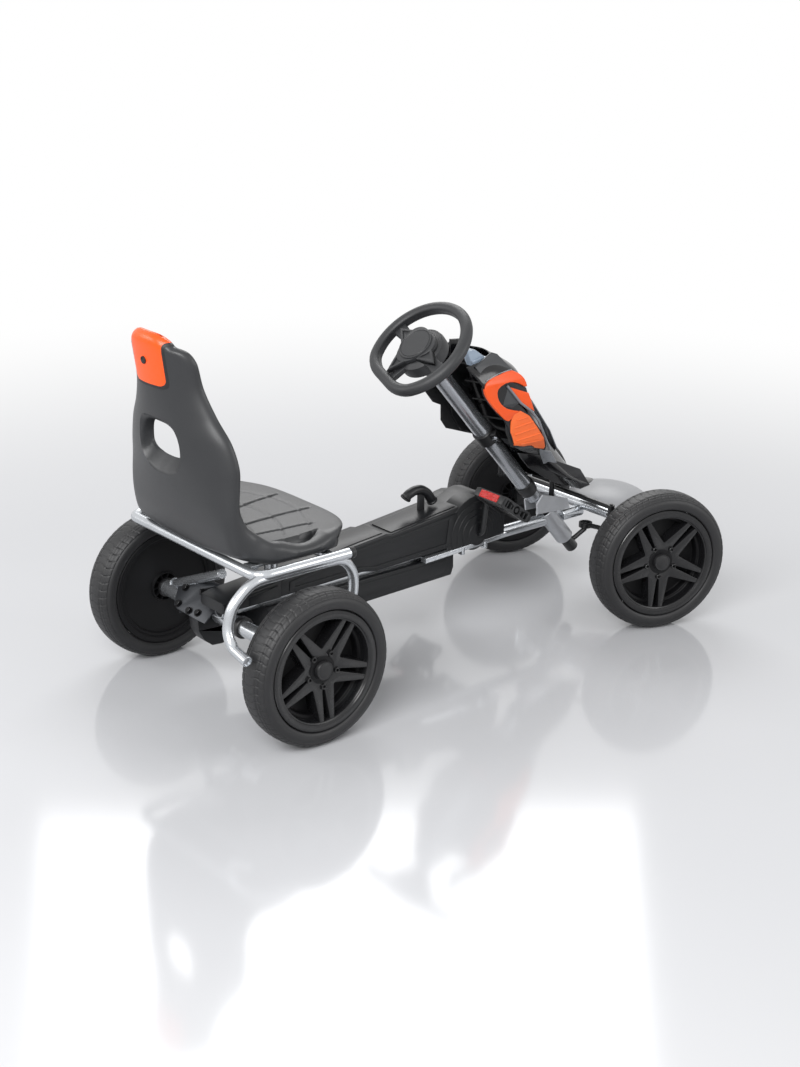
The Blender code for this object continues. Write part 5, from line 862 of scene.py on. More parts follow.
BOOT_RIM = [(-0.0445, 0.1790), (-0.0440, 0.1930), (0.055, 0.2040), (0.055, 0.1790)]
BOOT_PLATE = [(0.010, 0.1800), (0.010, 0.1960), (0.074, 0.2040), (0.074, 0.1800)]
REAR_RIDGE = [(0.105, 0.2115), (0.246, 0.2362), (0.326, 0.2440), (0.326, 0.2462), (0.246, 0.2385), (0.105, 0.2137)]
FRONT_RIDGE = [(0.346, 0.2400), (0.506, 0.2575), (0.506, 0.2612), (0.346, 0.2437)]
LEVER_SLOT = [(0.4245, 0.2500), (0.4635, 0.2530), (0.4635, 0.2555), (0.4245, 0.2513)]
LEVER_SLOT_SIDES = (0.006, 0.018)
LOWER_RIGHT = -0.028
LOWER_REAR = [(0.040, 0.140), (-0.0405, 0.138), (-0.0385, 0.115), (-0.027, 0.094), (-0.010, 0.080), (0.012, 0.078),
              (0.050, 0.088), (0.140, 0.107), (0.060, 0.0900), (0.060, 0.140)]
LOWER_REAR_SIDES = (0.052, 0.080)
LOWER_FRONT = [(0.055, 0.164), (0.055, 0.0893), (0.140, 0.107), (0.200, 0.1125), (0.300, 0.117), (0.500, 0.121),
               (0.506, 0.137), (0.505, 0.164)]
LOWER_PANEL = [(0.090, 0.1560), (0.090, 0.1080), (0.200, 0.1230), (0.300, 0.1275), (0.480, 0.1310), (0.488, 0.1560)]
LOWER_PANEL_SIDES = (-0.0294, -0.026)
FLAT_BAR = [(0.423, 0.1655), (0.634, 0.1735), (0.634, 0.1825), (0.423, 0.1755)]
FLAT_BAR_SIDES = (-0.0398, -0.0240)
CLIPS_X = (0.519, 0.578)
CLIP_HALF = 0.004
CLIP_SIDES = (-0.0404, -0.0290)
CLIP_Z = (0.1620, 0.1760)

# Polypropylene, injection moulded: charcoal, half gloss, with a fine even texture.
casing_plastic = moulded("polypropylene_moulded_charcoal", "151618", "1d1e20", (0.30, 0.40), (0.0012, 0.00004), 0.07,
                          **{"Specular IOR Level": 0.32})

upper = side_slab(UPPER_TOP + UPPER_FOOT, UPPER_RIGHT, UPPER_STEP_Y, 0.0035, 3)
lowered = [(x, z - UPPER_STEP) for x, z in UPPER_TOP]
join(upper, side_slab(lowered + UPPER_FOOT, UPPER_STEP_Y - UPPER_STEP_LAP, UPPER_LEFT, 0.0060, 4),
     side_slab(REAR_BOOT, UPPER_RIGHT, -UPPER_RIGHT, 0.0030, 3),
     side_slab(BOOT_RIM, -0.0362, 0.0362, 0.0015, 2),
     side_slab(BOOT_PLATE, -0.0378, -0.030, 0.0010, 2),
     side_slab(RAISED_PANEL, UPPER_RIGHT - 0.0016, UPPER_RIGHT + 0.002, 0.0010, 2, [PANEL_INSET]),
     side_slab(REAR_RIDGE, -0.024, 0.030, 0.0008, 2),
     side_slab(FRONT_RIDGE, -0.026, 0.032, 0.0010, 2))


def facing_right(y):
    """Placement on the crank's swelling with local Z pointing into the casing from its right side."""
    return Matrix.Translation((CRANK_FACE[0], y, CRANK_FACE[1])) @ Matrix.Rotation(radians(-90), 4, "X")


for radius, face_y in CRANK_STEPS:
    step = turned([(0.0, 0.0), (radius - CRANK_STEP_ROUND, 0.0), (radius, CRANK_STEP_ROUND), (radius, CRANK_STEP_DEPTH),
                   (0.0, CRANK_STEP_DEPTH)], 96, facing_right(face_y), closed=False)
    for clear, normal in CRANK_STEP_CUTS:
        cut_edges = bmesh.ops.bisect_plane(step, geom=step.verts[:] + step.edges[:] + step.faces[:], plane_co=clear,
                                           plane_no=normal, clear_outer=True)["geom_cut"]
        bmesh.ops.edgeloop_fill(step, edges=[item for item in cut_edges if isinstance(item, bmesh.types.BMEdge)])
    join(upper, step)
join(upper, turned(BOSS_SECTION, 64, facing_right(BOSS_Y), closed=False))
piece("casing_upper", upper, casing_plastic, "frame", ["beam_cover"])
piece("lever_slot", side_slab(LEVER_SLOT, *LEVER_SLOT_SIDES), trim_black, "frame")

lower = side_slab(LOWER_FRONT, LOWER_RIGHT, UPPER_LEFT, 0.0025, 3)
join(lower, side_slab(LOWER_REAR, *LOWER_REAR_SIDES, 0.0025, 3), side_slab(LOWER_PANEL, *LOWER_PANEL_SIDES, 0.0010, 2))
piece("casing_lower", lower, casing_plastic, "frame", ["lower_guard"])
clips = bmesh.new()
for x in CLIPS_X:
    join(clips, box((x - CLIP_HALF, CLIP_SIDES[0], CLIP_Z[0]), (x + CLIP_HALF, CLIP_SIDES[1], CLIP_Z[1]), 0.0006))
join(clips, side_slab(FLAT_BAR, *FLAT_BAR_SIDES, 0.0008))
piece("casing_clips", clips, zinc_plate, "frame")


# Steering column
# Two grey-painted sleeves slide into each other under a clamp ring and carry the shaft down to the head
# tube, which is welded to the cross tube's stub with two gussets and the strut for the shield.

COLUMN_SLOPE = radians(48.44)
COLUMN_HUB = Vector((WHEELBASE - 0.462, 0.0, 0.592))
STRUT_ROUTE = [(0.795, 0.0, 0.2095), (0.795, 0.0, 0.262), (0.779, 0.0, 0.317)]
GUSSET = [(0.751, 0.232), (0.823, 0.210), (0.831, 0.187), (0.739, 0.192), (0.735, 0.214)]
UPPER_SLEEVE = (0.018, 0.0145, 0.066, 0.274)
LOWER_SLEEVE = (0.017, 0.0125, 0.2743, 0.443)
SLEEVE_NECK = (0.015, 0.0125, 0.4428, 0.4929)
BUSH_SECTION = [(0.0153, -0.4433), (0.0180, -0.4433), (0.0190, -0.4445), (0.0190, -0.4600), (0.0180, -0.4620),
                (0.0180, -0.4700), (0.0170, -0.4720), (0.0153, -0.4720)]
CLAMP_RING = (0.022, 0.0183, 0.2668, 0.2968, 0.0015)
CLAMP_EARS = ((0.004, 0.018, -0.027), (0.0165, 0.031, -0.003), 0.0015)
CLAMP_BOLT_TURN = radians(-60.0)
CLAMP_BOLT_AT = (0.0160, 0.0245, -0.015)
CLAMP_BOLT = (0.0090, 0.0050)
HEAD_TUBE = (0.0188, 0.0165, 0.538, 0.633)
GUSSET_SIDES = ((-0.0193, -0.0153), (0.0153, 0.0193))
HEAD_BRIDGE = ((0.786, -0.0163, 0.206), (0.804, 0.0163, 0.2125), 0.001)
STRUT_RADIUS = 0.0055
STRUT_BEND = 0.015

# Painted tube in a paler silver grey at the lower end of the column.
pale_paint = moulded("powder_coat_silver_grey", "a7a9ad", "bfc1c5", (0.26, 0.40), (0.0011, 0.00003), 0.03,
                     Metallic=0.5)


def column_place(depth):
    """Placement on the column's axis: X to the driver's right, Z up towards the driver."""
    down = Vector((cos(COLUMN_SLOPE), 0.0, -sin(COLUMN_SLOPE)))
    turn = Matrix(((0.0, sin(COLUMN_SLOPE), -cos(COLUMN_SLOPE)), (-1.0, 0.0, 0.0),
                   (0.0, cos(COLUMN_SLOPE), sin(COLUMN_SLOPE)))).to_4x4()
    return Matrix.Translation(COLUMN_HUB + down * depth) @ turn


def column_ring(radius, bore, start, end, rim=0.0008, steps=72):
    """Round tube on the column's axis between two depths."""
    return turned([(bore, -start), (radius - rim, -start), (radius, -start - rim), (radius, -end + rim),
                   (radius - rim, -end), (bore, -end)], steps, column_place(0.0))


piece("column_sleeve_upper", column_ring(*UPPER_SLEEVE), grey_paint, "frame",
      ["column_upper_sleeve"])
lower_sleeve = join(column_ring(*LOWER_SLEEVE), column_ring(*SLEEVE_NECK))
piece("column_sleeve_lower", lower_sleeve, grey_paint, "frame", ["column_lower_sleeve"])
bush = turned(BUSH_SECTION, 64, column_place(0.0))
piece("column_bush_dressed", bush, nylon_black, "frame", ["column_bush"])
clamp_place = column_place(CLAMP_RING[2]) @ Matrix.Rotation(CLAMP_BOLT_TURN, 4, "Z")
clamp = join(column_ring(*CLAMP_RING), placed(box(*CLAMP_EARS), clamp_place))
piece("column_clamp_dressed", clamp, nylon_black, "frame", ["column_clamp"])
bolt_place = clamp_place @ Matrix.Translation(CLAMP_BOLT_AT) @ Matrix.Rotation(radians(90), 4, "Y")
piece("column_clamp_bolt", hexagon_bolt(bolt_place, *CLAMP_BOLT), bright_steel, "frame")

head = column_ring(*HEAD_TUBE)
join(head, *[side_slab(GUSSET, *sides, SHEET_ROUND, 1) for sides in GUSSET_SIDES], box(*HEAD_BRIDGE))
piece("head_tube_dressed", head, pale_paint, "frame", ["head_tube"])
# Chassis black on forged and bent steel: dark with a broad soft glint.
black_paint = moulded("powder_coat_black", "101112", "1a1b1d", (0.24, 0.38), (0.0011, 0.00003), 0.03)
dress(black_paint, "spindle_left", "spindle_right", "track_rod", "drag_link", "steering_arm")
strut = swept(rounded_path(STRUT_ROUTE, STRUT_BEND), disc(STRUT_RADIUS))
piece("shield_strut", strut, black_paint, "frame")


# Steering wheel
# Moulded in matt grey polyurethane over a steel core: a rim flattened at the bottom with a facet on its
# inner side, three spokes, a deep cup behind the hub and a three-lobed cap clipped in front.

WHEEL_DEPTH = 0.0175
WHEEL_PLACE = column_place(WHEEL_DEPTH) @ Matrix.Rotation(STEER_SHOWN, 4, "Z")
RIM_RADIUS = 0.0990
RIM_TUBE = 0.0118
RIM_ARC = (-48.3, 228.3)
RIM_FLAT = (0.0465, -0.0825)
RIM_FACET = 0.80
RIM_EASING = 3
HUB_SECTION = [(0.0, 0.0050), (0.0380, 0.0050), (0.0400, 0.0040), (0.0480, -0.0010), (0.0500, -0.0090),
               (0.0495, -0.0230), (0.0440, -0.0250), (0.0300, -0.0420), (0.0215, -0.0480), (0.0, -0.0480)]
CUP_RIBS = 18
CUP_RIB = [(0.0, -0.0445), (0.0, -0.0285), (0.0085, -0.0285)]
CUP_RIB_HALF = 0.0008
CUP_RIB_RADIUS = 0.0300
SIDE_SPOKE = [(0.0280, -0.0170), (0.0280, 0.0150), (0.0600, 0.0110), (0.0960, 0.0150), (0.0960, -0.0150),
              (0.0600, -0.0120)]
FOOT_SPOKE = [(-0.0150, -0.0300), (-0.0150, -0.0800), (0.0150, -0.0800), (0.0150, -0.0300)]
FOOT_WINDOW = [(-0.0035, -0.0440), (-0.0055, -0.0660), (0.0055, -0.0660), (0.0035, -0.0440)]
SPOKE_BACK = -0.0100
LOBES = 3
LOBE_RADIUS = 0.0400
LOBE_RISE = 0.0045
LOBE_TURN = radians(30)
LOBE_STEPS = 96
COVER_HEIGHTS = (0.0053, 0.0150)
COVER_DISC = [(0.0, 0.0140), (0.0, 0.0175), (0.0295, 0.0175), (0.0305, 0.0164), (0.0312, 0.0164), (0.0325, 0.0176),
              (0.0345, 0.0172), (0.0355, 0.0140)]
EAR = [(0.0, 0.0720), (-0.0185, 0.0330), (0.0185, 0.0330)]
EAR_GROOVE = [(0.0, 0.0610), (-0.0110, 0.0370), (0.0110, 0.0370)]
EAR_TURNS = (-90.0, 90.0, 180.0)
EAR_RIM_HEIGHTS = (0.0020, 0.0150)
EAR_FLOOR_HEIGHTS = (0.0015, 0.0120)
EAR_DROP = 0.0030
EAR_DROP_ABOVE = 0.006

# Polyurethane foam skin, mould-textured: charcoal grey, matt, with a soft rubbery sheen.
wheel_skin = moulded("polyurethane_skin_moulded", "252628", "303133", (0.42, 0.54), (0.0013, 0.00009), 0.06)

rim_line = arc((0.0, 0.0), RIM_RADIUS, *RIM_ARC, 90)
flat_line = [(-RIM_FLAT[0] + 2 * RIM_FLAT[0] * i / 12, RIM_FLAT[1]) for i in range(13)]
whole_line = [Vector((x, y, 0.0)) for x, y in rim_line + flat_line]
for _ in range(RIM_EASING):
    whole_line = [(a + b * 2 + c) / 4 for a, b, c in zip(whole_line[-1:] + whole_line[:-1], whole_line,
                                                        whole_line[1:] + whole_line[:1])]
facet = [(max(u, -RIM_TUBE * RIM_FACET), v) for u, v in disc(RIM_TUBE, 32)]
grip_rim = swept(whole_line, facet, closed=True)
for turn_sign in (-1, 1):
    join(grip_rim, slab([(turn_sign * x, y) for x, y in SIDE_SPOKE], SPOKE_BACK, 0.0012, 0.0025, 3))
join(grip_rim, slab(FOOT_SPOKE, SPOKE_BACK, 0.0010, 0.002, 3, [FOOT_WINDOW]), turned(HUB_SECTION, 96, closed=False))
for rib in range(CUP_RIBS):
    place = (Matrix.Rotation(2 * pi * rib / CUP_RIBS, 4, "Z") @ Matrix.Translation((CUP_RIB_RADIUS, 0.0, 0.0))
             @ Matrix.Rotation(radians(90), 4, "X"))
    join(grip_rim, placed(slab(CUP_RIB, -CUP_RIB_HALF, CUP_RIB_HALF), place))
placed(grip_rim, WHEEL_PLACE)
piece("steering_wheel_dressed", grip_rim, wheel_skin, "steering", ["steering_wheel"])

lobes = []
for i in range(LOBE_STEPS):
    angle = 2 * pi * i / LOBE_STEPS
    radius = LOBE_RADIUS + LOBE_RISE * cos(LOBES * (angle - LOBE_TURN))
    lobes.append((radius * cos(angle), radius * sin(angle)))
hub_cover = slab(lobes, *COVER_HEIGHTS, 0.0020, 3)
join(hub_cover, turned(COVER_DISC, 72, closed=False))
ear_foot = EAR[1][1]
ear_length = EAR[0][1] - ear_foot
for turn_by in EAR_TURNS:
    ear = slab(EAR, *EAR_RIM_HEIGHTS, 0.0012, 2, [EAR_GROOVE])
    join(ear, slab(EAR, *EAR_FLOOR_HEIGHTS, 0.0008, 1))
    for vert in ear.verts:
        if vert.co.z > EAR_DROP_ABOVE:
            vert.co.z -= EAR_DROP * max(0.0, (vert.co.y - ear_foot) / ear_length)
    join(hub_cover, placed(ear, Matrix.Rotation(radians(turn_by), 4, "Z")))
placed(hub_cover, WHEEL_PLACE)
piece("steering_hub_cap", hub_cover, wheel_skin, "steering", ["steering_hub_cover"])


# Front shield
# A glossy black ABS shell leans forward from the hood to its tip. An orange moulding with a dark recess
# and a ribbed cheek is clipped to each side, with a grey hood, a silver edge strip and a small screen.

SHELL_ROWS = [
    ((0.494, 0.058, 0.546), (0.556, 0.052, 0.554), (0.586, 0.0, 0.556)),
    ((0.517, 0.078, 0.512), (0.604, 0.068, 0.526), (0.641, 0.0, 0.520)),
    ((0.548, 0.082, 0.462), (0.634, 0.072, 0.480), (0.670, 0.0, 0.468)),
    ((0.580, 0.082, 0.425), (0.655, 0.072, 0.434), (0.706, 0.0, 0.420)),
    ((0.606, 0.078, 0.380), (0.684, 0.066, 0.370), (0.754, 0.0, 0.360)),
    ((0.668, 0.052, 0.343), (0.728, 0.046, 0.333), (0.790, 0.0, 0.318)),
    ((0.752, 0.040, 0.287), (0.800, 0.042, 0.268), (0.856, 0.0, 0.252)),
    ((0.848, 0.024, 0.240), (0.872, 0.026, 0.2325), (0.912, 0.0, 0.2280))]
SHELL_WALL = 0.0024
SIDE_WIDTHS = [(0.228, 0.024), (0.285, 0.040), (0.340, 0.052), (0.380, 0.078), (0.425, 0.082), (0.465, 0.082),
               (0.512, 0.078), (0.555, 0.060), (0.575, 0.052)]
CAMERA_PLACE = Vector((-2.1939, -2.5210, 1.4326))
CAMERA_AZIMUTH = radians(-40.432)
CAMERA_ELEVATION = radians(20.061)
CAMERA_ROLL = radians(1.076)
CAMERA_FOCAL_PIXELS = 1845.951
IMAGE_WIDTH = 800
IMAGE_CENTRE = (400.0, 533.5)
CROP_CORNER = (355.0, 290.0)
CROP_SCALE = 6.15
RING_SHAPE = [(1052, 600), (1040, 552), (1002, 508), (950, 488), (870, 516), (800, 560), (786, 610), (795, 652),
              (830, 706), (880, 766), (925, 808), (950, 796), (966, 764), (1008, 742), (960, 736), (916, 724),
              (880, 690), (864, 640), (874, 600), (930, 564), (990, 566)]
FAR_SHAPE = [(936, 592), (1000, 612), (1062, 630), (1098, 744), (1012, 694)]
CHEEK_SHAPE = [(966, 764), (1010, 740), (1062, 768), (1120, 850), (1160, 958), (1150, 974), (972, 954), (948, 872),
               (952, 808)]
CHEEK_BORDER = [(930, 812), (950, 800), (966, 756), (1010, 734), (1068, 760), (1130, 846), (1174, 960), (1162, 992),
                (962, 966), (936, 886)]
RECESS_SHAPE = [(864, 640), (874, 600), (930, 564), (990, 566), (1052, 600), (1060, 630), (940, 596), (1010, 694),
                (1012, 740), (960, 736), (916, 724), (880, 690)]
BLADE_SHAPE = [(930, 602), (1008, 690), (960, 724), (904, 714)]
HOOD_SHAPE = [(735, 474), (838, 382), (872, 392), (948, 470), (952, 486), (868, 514), (798, 558), (770, 520)]
EDGE_STRIP = [(926, 586), (1010, 692), (1076, 742), (1120, 800), (1150, 880), (1188, 975)]
STRIP_FOOT = [(1130, 976), (1200, 990), (1236, 1060), (1152, 1066)]
CHEEK_RIBS = [((985, 800), (1050, 778)), ((972, 846), (1086, 806)), ((974, 888), (1108, 842)),
              ((980, 926), (1124, 880)), ((1010, 946), (1140, 918))]
SCREEN_SHAPE = [(688, 372), (742, 368), (800, 410), (826, 432), (724, 470)]
SCREEN_STEP = [(712, 440), (800, 412), (826, 432), (724, 470)]
TALL_FIN = [(580, 300), (642, 296), (664, 420), (574, 424)]
INNER_PANEL = [(430, 621), (480, 689), (529, 707), (529, 800), (560, 849), (701, 879), (800, 900), (760, 640),
               (640, 480), (470, 560)]


def from_view(pixel, width=None):
    """Point in the kart's frame seen at a place of the enlarged view, on the shield's right side."""
    across = CROP_CORNER[0] + pixel[0] / CROP_SCALE - IMAGE_CENTRE[0]
    down = CROP_CORNER[1] + pixel[1] / CROP_SCALE - IMAGE_CENTRE[1]
    aim_line = camera_turn() @ Vector((across, -down, -CAMERA_FOCAL_PIXELS))
    start = CAMERA_PLACE - Vector((REAR_AXLE_X, 0.0, 0.0))
    y = -0.080 if width is None else -width
    for _ in range(8):
        point = start + aim_line * ((y - start.y) / aim_line.y)
        if width is None:
            y = -side_width(point.z)
    return point


def camera_turn():
    """Turn of the camera: looking at the kart from behind its right side, slightly rolled."""
    back = Vector((sin(CAMERA_AZIMUTH) * cos(CAMERA_ELEVATION), -cos(CAMERA_AZIMUTH) * cos(CAMERA_ELEVATION),
                   sin(CAMERA_ELEVATION)))
    right = (-back).cross(Vector((0.0, 0.0, 1.0))).normalized()
    up = right.cross(-back)
    rolled = right * cos(CAMERA_ROLL) + up * sin(CAMERA_ROLL)
    return Matrix((rolled, back.cross(rolled), back)).transposed()


def side_width(height):
    """Half width of the shield's side at a height."""
    for (z0, w0), (z1, w1) in zip(SIDE_WIDTHS, SIDE_WIDTHS[1:]):
        if height <= z1:
            return w0 + (w1 - w0) * max(0.0, (height - z0) / (z1 - z0))
    return SIDE_WIDTHS[-1][1]


def clad(outline, inner, outer, bevel=0.0012, segments=3, bends=26, smooth=0):
    """Sheet over the shield's side with a view outline, from an inner to an outer stand-off, on both sides."""
    points = [from_view(pixel) for pixel in outline]
    for _ in range(smooth):
        eased = []
        for a, b in zip(points, points[1:] + points[:1]):
            eased += [a.lerp(b, 0.25), a.lerp(b, 0.75)]
        points = eased
    shape = side_slab([(point.x, point.z) for point in points], -outer, -inner, bevel, segments)
    low, high = min(p.z for p in points), max(p.z for p in points)
    for i in range(1, bends):
        bmesh.ops.bisect_plane(shape, geom=shape.verts[:] + shape.edges[:] + shape.faces[:],
                               plane_co=(0, 0, low + (high - low) * i / bends), plane_no=(0, 0, 1))
    for vert in shape.verts:
        vert.co.y -= side_width(vert.co.z)
    twin = shape.copy()
    bmesh.ops.scale(twin, vec=(1.0, -1.0, 1.0), verts=twin.verts)
    bmesh.ops.reverse_faces(twin, faces=twin.faces)
    join(shape, twin)
    return shape


# ABS, injection moulded and polished: black with sharp window-like highlights.
gloss_black = moulded("abs_polished_black", "08080a", "0f0f12", (0.10, 0.20), (0.0030, 0.00002), 0.08)
# ABS with silver lacquer: pale, smooth, faintly sparkling.
silver_lacquer = moulded("abs_lacquered_silver", "777a7f", "8e9196", (0.24, 0.36), (0.0012, 0.00002), 0.05,
                         Metallic=0.45)
# Hood in grey ABS, spark-eroded texture: soft wide sheen.
hood_grey = moulded("abs_textured_grey", "2c2e31", "37393c", (0.36, 0.48), (0.0011, 0.00007), 0.05)
# Acrylic, tinted pale blue-grey and polished: light, glassy.
tinted_acrylic = moulded("acrylic_tinted", "8fa0b4", "b4c2d2", (0.08, 0.14), (0.0040, 0.00001), 0.04)

lines = []
for rear, front, ridge in SHELL_ROWS:
    half = [(rear[0], -rear[1], rear[2]), (front[0], -front[1], front[2]), ridge, (front[0], front[1], front[2]),
            (rear[0], rear[1], rear[2])]
    lines.append([value for point in half for value in point])
shell_rows = []
for i in range((len(lines) - 1) * 8 + 1):
    flat = through(lines, i / 8)
    across = [tuple(flat[j:j + 3]) for j in range(0, len(flat), 3)]
    shell_rows.append([through(across, j / 10) for j in range(4 * 10 + 1)])
shell = piece("shield_shell", skin(shell_rows, False, False), gloss_black, "frame",
              ["fairing_shell"], 60)
wall = shell.modifiers.new("wall", "SOLIDIFY")
wall.thickness = SHELL_WALL
wall.offset = -1.0 if shell.data.polygons[0].normal.x > 0 else 1.0
wing = clad([(1000, 1000), (1130, 1012), (1380, 1098), (1440, 1196), (1380, 1222), (1210, 1180), (1064, 1092)], -0.002,
            0.003, 0.001, 2, 12)
ribs = bmesh.new()
for z in (0.40, 0.44, 0.48, 0.52):
    join(ribs, swept([(0.640 - (z - 0.40) * 0.55, -0.055, z), (0.680 - (z - 0.40) * 0.60, 0.0, z - 0.004),
                      (0.640 - (z - 0.40) * 0.55, 0.055, z)], disc(0.0022, 8)))
inner_panel = bmesh.new()
side_points = [from_view(pixel, -0.080) for pixel in INNER_PANEL]
for low, high in ((0.0795, 0.0825),):
    join(inner_panel, side_slab([(point.x, point.z) for point in side_points], low, high, 0.0010, 2))
for outline in (RING_SHAPE[:15], FAR_SHAPE, CHEEK_BORDER):
    join(inner_panel, clad(outline, -0.0045, -0.0014, 0.0004, 1, 26, 0))
piece("shield_wings", wing, gloss_black, "frame")
piece("shield_ribs", join(ribs, inner_panel), trim_black, "frame")
orange = clad(RING_SHAPE, -0.001, 0.0055, 0.0020, 4, 26, 1)
join(orange, clad(FAR_SHAPE, -0.001, 0.0034, 0.0012, 3))
piece("shield_rings", orange, orange_plastic, "frame", ["fairing_panels"], 42)
# The same ABS over a fine etched mould, so it has no sharp glint; its orange is paler than the ring's as a painted
# highlight.
orange_etched_painted_highlight = moulded("abs_etched_orange_painted_highlight", "f26626", "fd7a3a", (0.40, 0.52), (0.0010, 0.00004), 0.08)
cheek = clad(CHEEK_SHAPE, -0.001, 0.0048, 0.0014, 3)
for first, last in CHEEK_RIBS:
    start, end = from_view(first), from_view(last)
    for side in (1, -1):
        line = [Vector((point.x, side * (-side_width(point.z) - 0.0046), point.z)) for point in
                [start.lerp(end, i / 6) for i in range(7)]]
        join(cheek, swept(line, disc(0.0015, 10)))
# The cheeks take the paler orange: a painted highlight on the same plastic as the ring.
piece("shield_cheeks", cheek, orange_etched_painted_highlight, "frame", crease=42)
piece("shield_hood", clad(HOOD_SHAPE, -0.002, 0.0020, 0.0012, 3), hood_grey, "frame")
recess = clad(RECESS_SHAPE, -0.002, 0.0008, 0.0004, 1)
join(recess, clad(CHEEK_BORDER, -0.002, 0.0018, 0.0008, 2))
piece("shield_recess", recess, trim_black, "frame")
piece("shield_blade", clad(BLADE_SHAPE, 0.0, 0.0034, 0.0010, 2), hood_grey, "frame")
strip = bmesh.new()
for side in (1, -1):
    line = []
    for pixel in EDGE_STRIP:
        point = from_view(pixel)
        line.append((point.x, side * (-side_width(point.z) - 0.0042), point.z))
    join(strip, swept(rounded_path(line, 0.04), disc(0.0026, 12)))
join(strip, clad(STRIP_FOOT, -0.002, 0.0040, 0.0015, 3, 5))
piece("shield_strip", strip, silver_lacquer, "frame")
bead = bmesh.new()
for outline in (HOOD_SHAPE[4:7],):
    for side in (1, -1):
        line = []
        for pixel in outline:
            point = from_view(pixel)
            line.append((point.x, side * (-side_width(point.z) - 0.0042), point.z))
        join(bead, swept(rounded_path(line, 0.03), disc(0.0011, 8)))
piece("shield_bead", bead, silver_lacquer, "frame")
dress(silver_lacquer, "fairing_ridge")
pane = [from_view(pixel, 0.052) for pixel in SCREEN_SHAPE]
sill = [from_view(pixel, 0.052) for pixel in SCREEN_STEP]
screen = side_slab([(point.x, point.z) for point in pane], -0.052, -0.034, 0.0020, 3)
join(screen, side_slab([(point.x + 0.001, point.z + 0.001) for point in sill], -0.0535, -0.032, 0.0015, 2))
piece("shield_screen", screen, tinted_acrylic, "frame", ["fairing_screen"])
tall = [from_view(pixel, -0.045) for pixel in TALL_FIN]
piece("shield_fin", side_slab([(point.x, point.z) for point in tall], 0.040, 0.046, 0.0010, 2), gloss_black, "frame")

NOSE_MIDDLE = (WHEELBASE + 0.0859, 0.0, CROSS_Z - 0.004)
NOSE_HALF = (0.0740, 0.0920, 0.0280)
nose = bmesh.new()
bmesh.ops.create_uvsphere(nose, u_segments=64, v_segments=32, radius=1.0,
                          matrix=Matrix.Translation(NOSE_MIDDLE) @ Matrix.Diagonal((*NOSE_HALF, 1.0)))
# ABS in plain silver grey, moulded: even and only half glossy.
nose_grey = moulded("abs_moulded_silver_grey", "8d8e91", "999a9d", (0.34, 0.44), (0.0012, 0.00002), 0.06)
piece("front_nose_dressed", nose, nose_grey, "frame", ["front_nose"])


# Crank and pedals
# A forged crank runs in the backbone's shell. Each black polypropylene pedal has an open tread cage and
# a red reflector snapped into its rear face.

CRANK_TIP = (0.0089, 0.0725)
CRANK_ENDS = (-0.0475, 0.0860)
CRANK_ROD = 0.0060
CRANK_BEND = 0.014
PEDAL_PITCH = radians(36.0)
PEDAL_NEAR = 0.0070
PEDAL_FAR = 0.0850
PEDAL_SIDE = [(-0.0425, -0.0085), (-0.0425, 0.0085), (-0.0360, 0.0106), (0.0360, 0.0106), (0.0440, 0.0070),
              (0.0460, 0.0), (0.0440, -0.0070), (0.0360, -0.0106), (-0.0360, -0.0106)]
PEDAL_RAIL = 0.0045
PEDAL_WINDOWS = [[(-0.0345, -0.0062), (-0.0345, 0.0062), (-0.0240, 0.0070), (-0.0110, 0.0035), (-0.0110, -0.0035),
                  (-0.0240, -0.0070)],
                 [(0.0110, -0.0035), (0.0110, 0.0035), (0.0240, 0.0070), (0.0345, 0.0062), (0.0345, -0.0062),
                  (0.0240, -0.0070)]]
PEDAL_BLADES = (-0.0400, -0.0270, -0.0150, 0.0150, 0.0270, 0.0400)
PEDAL_BLADE_HALF = 0.0016
PEDAL_RIBS = (0.0270, 0.0460, 0.0650)
PEDAL_BARREL = (0.0085, 0.0050)
REFLECTOR_INSET = 0.0138

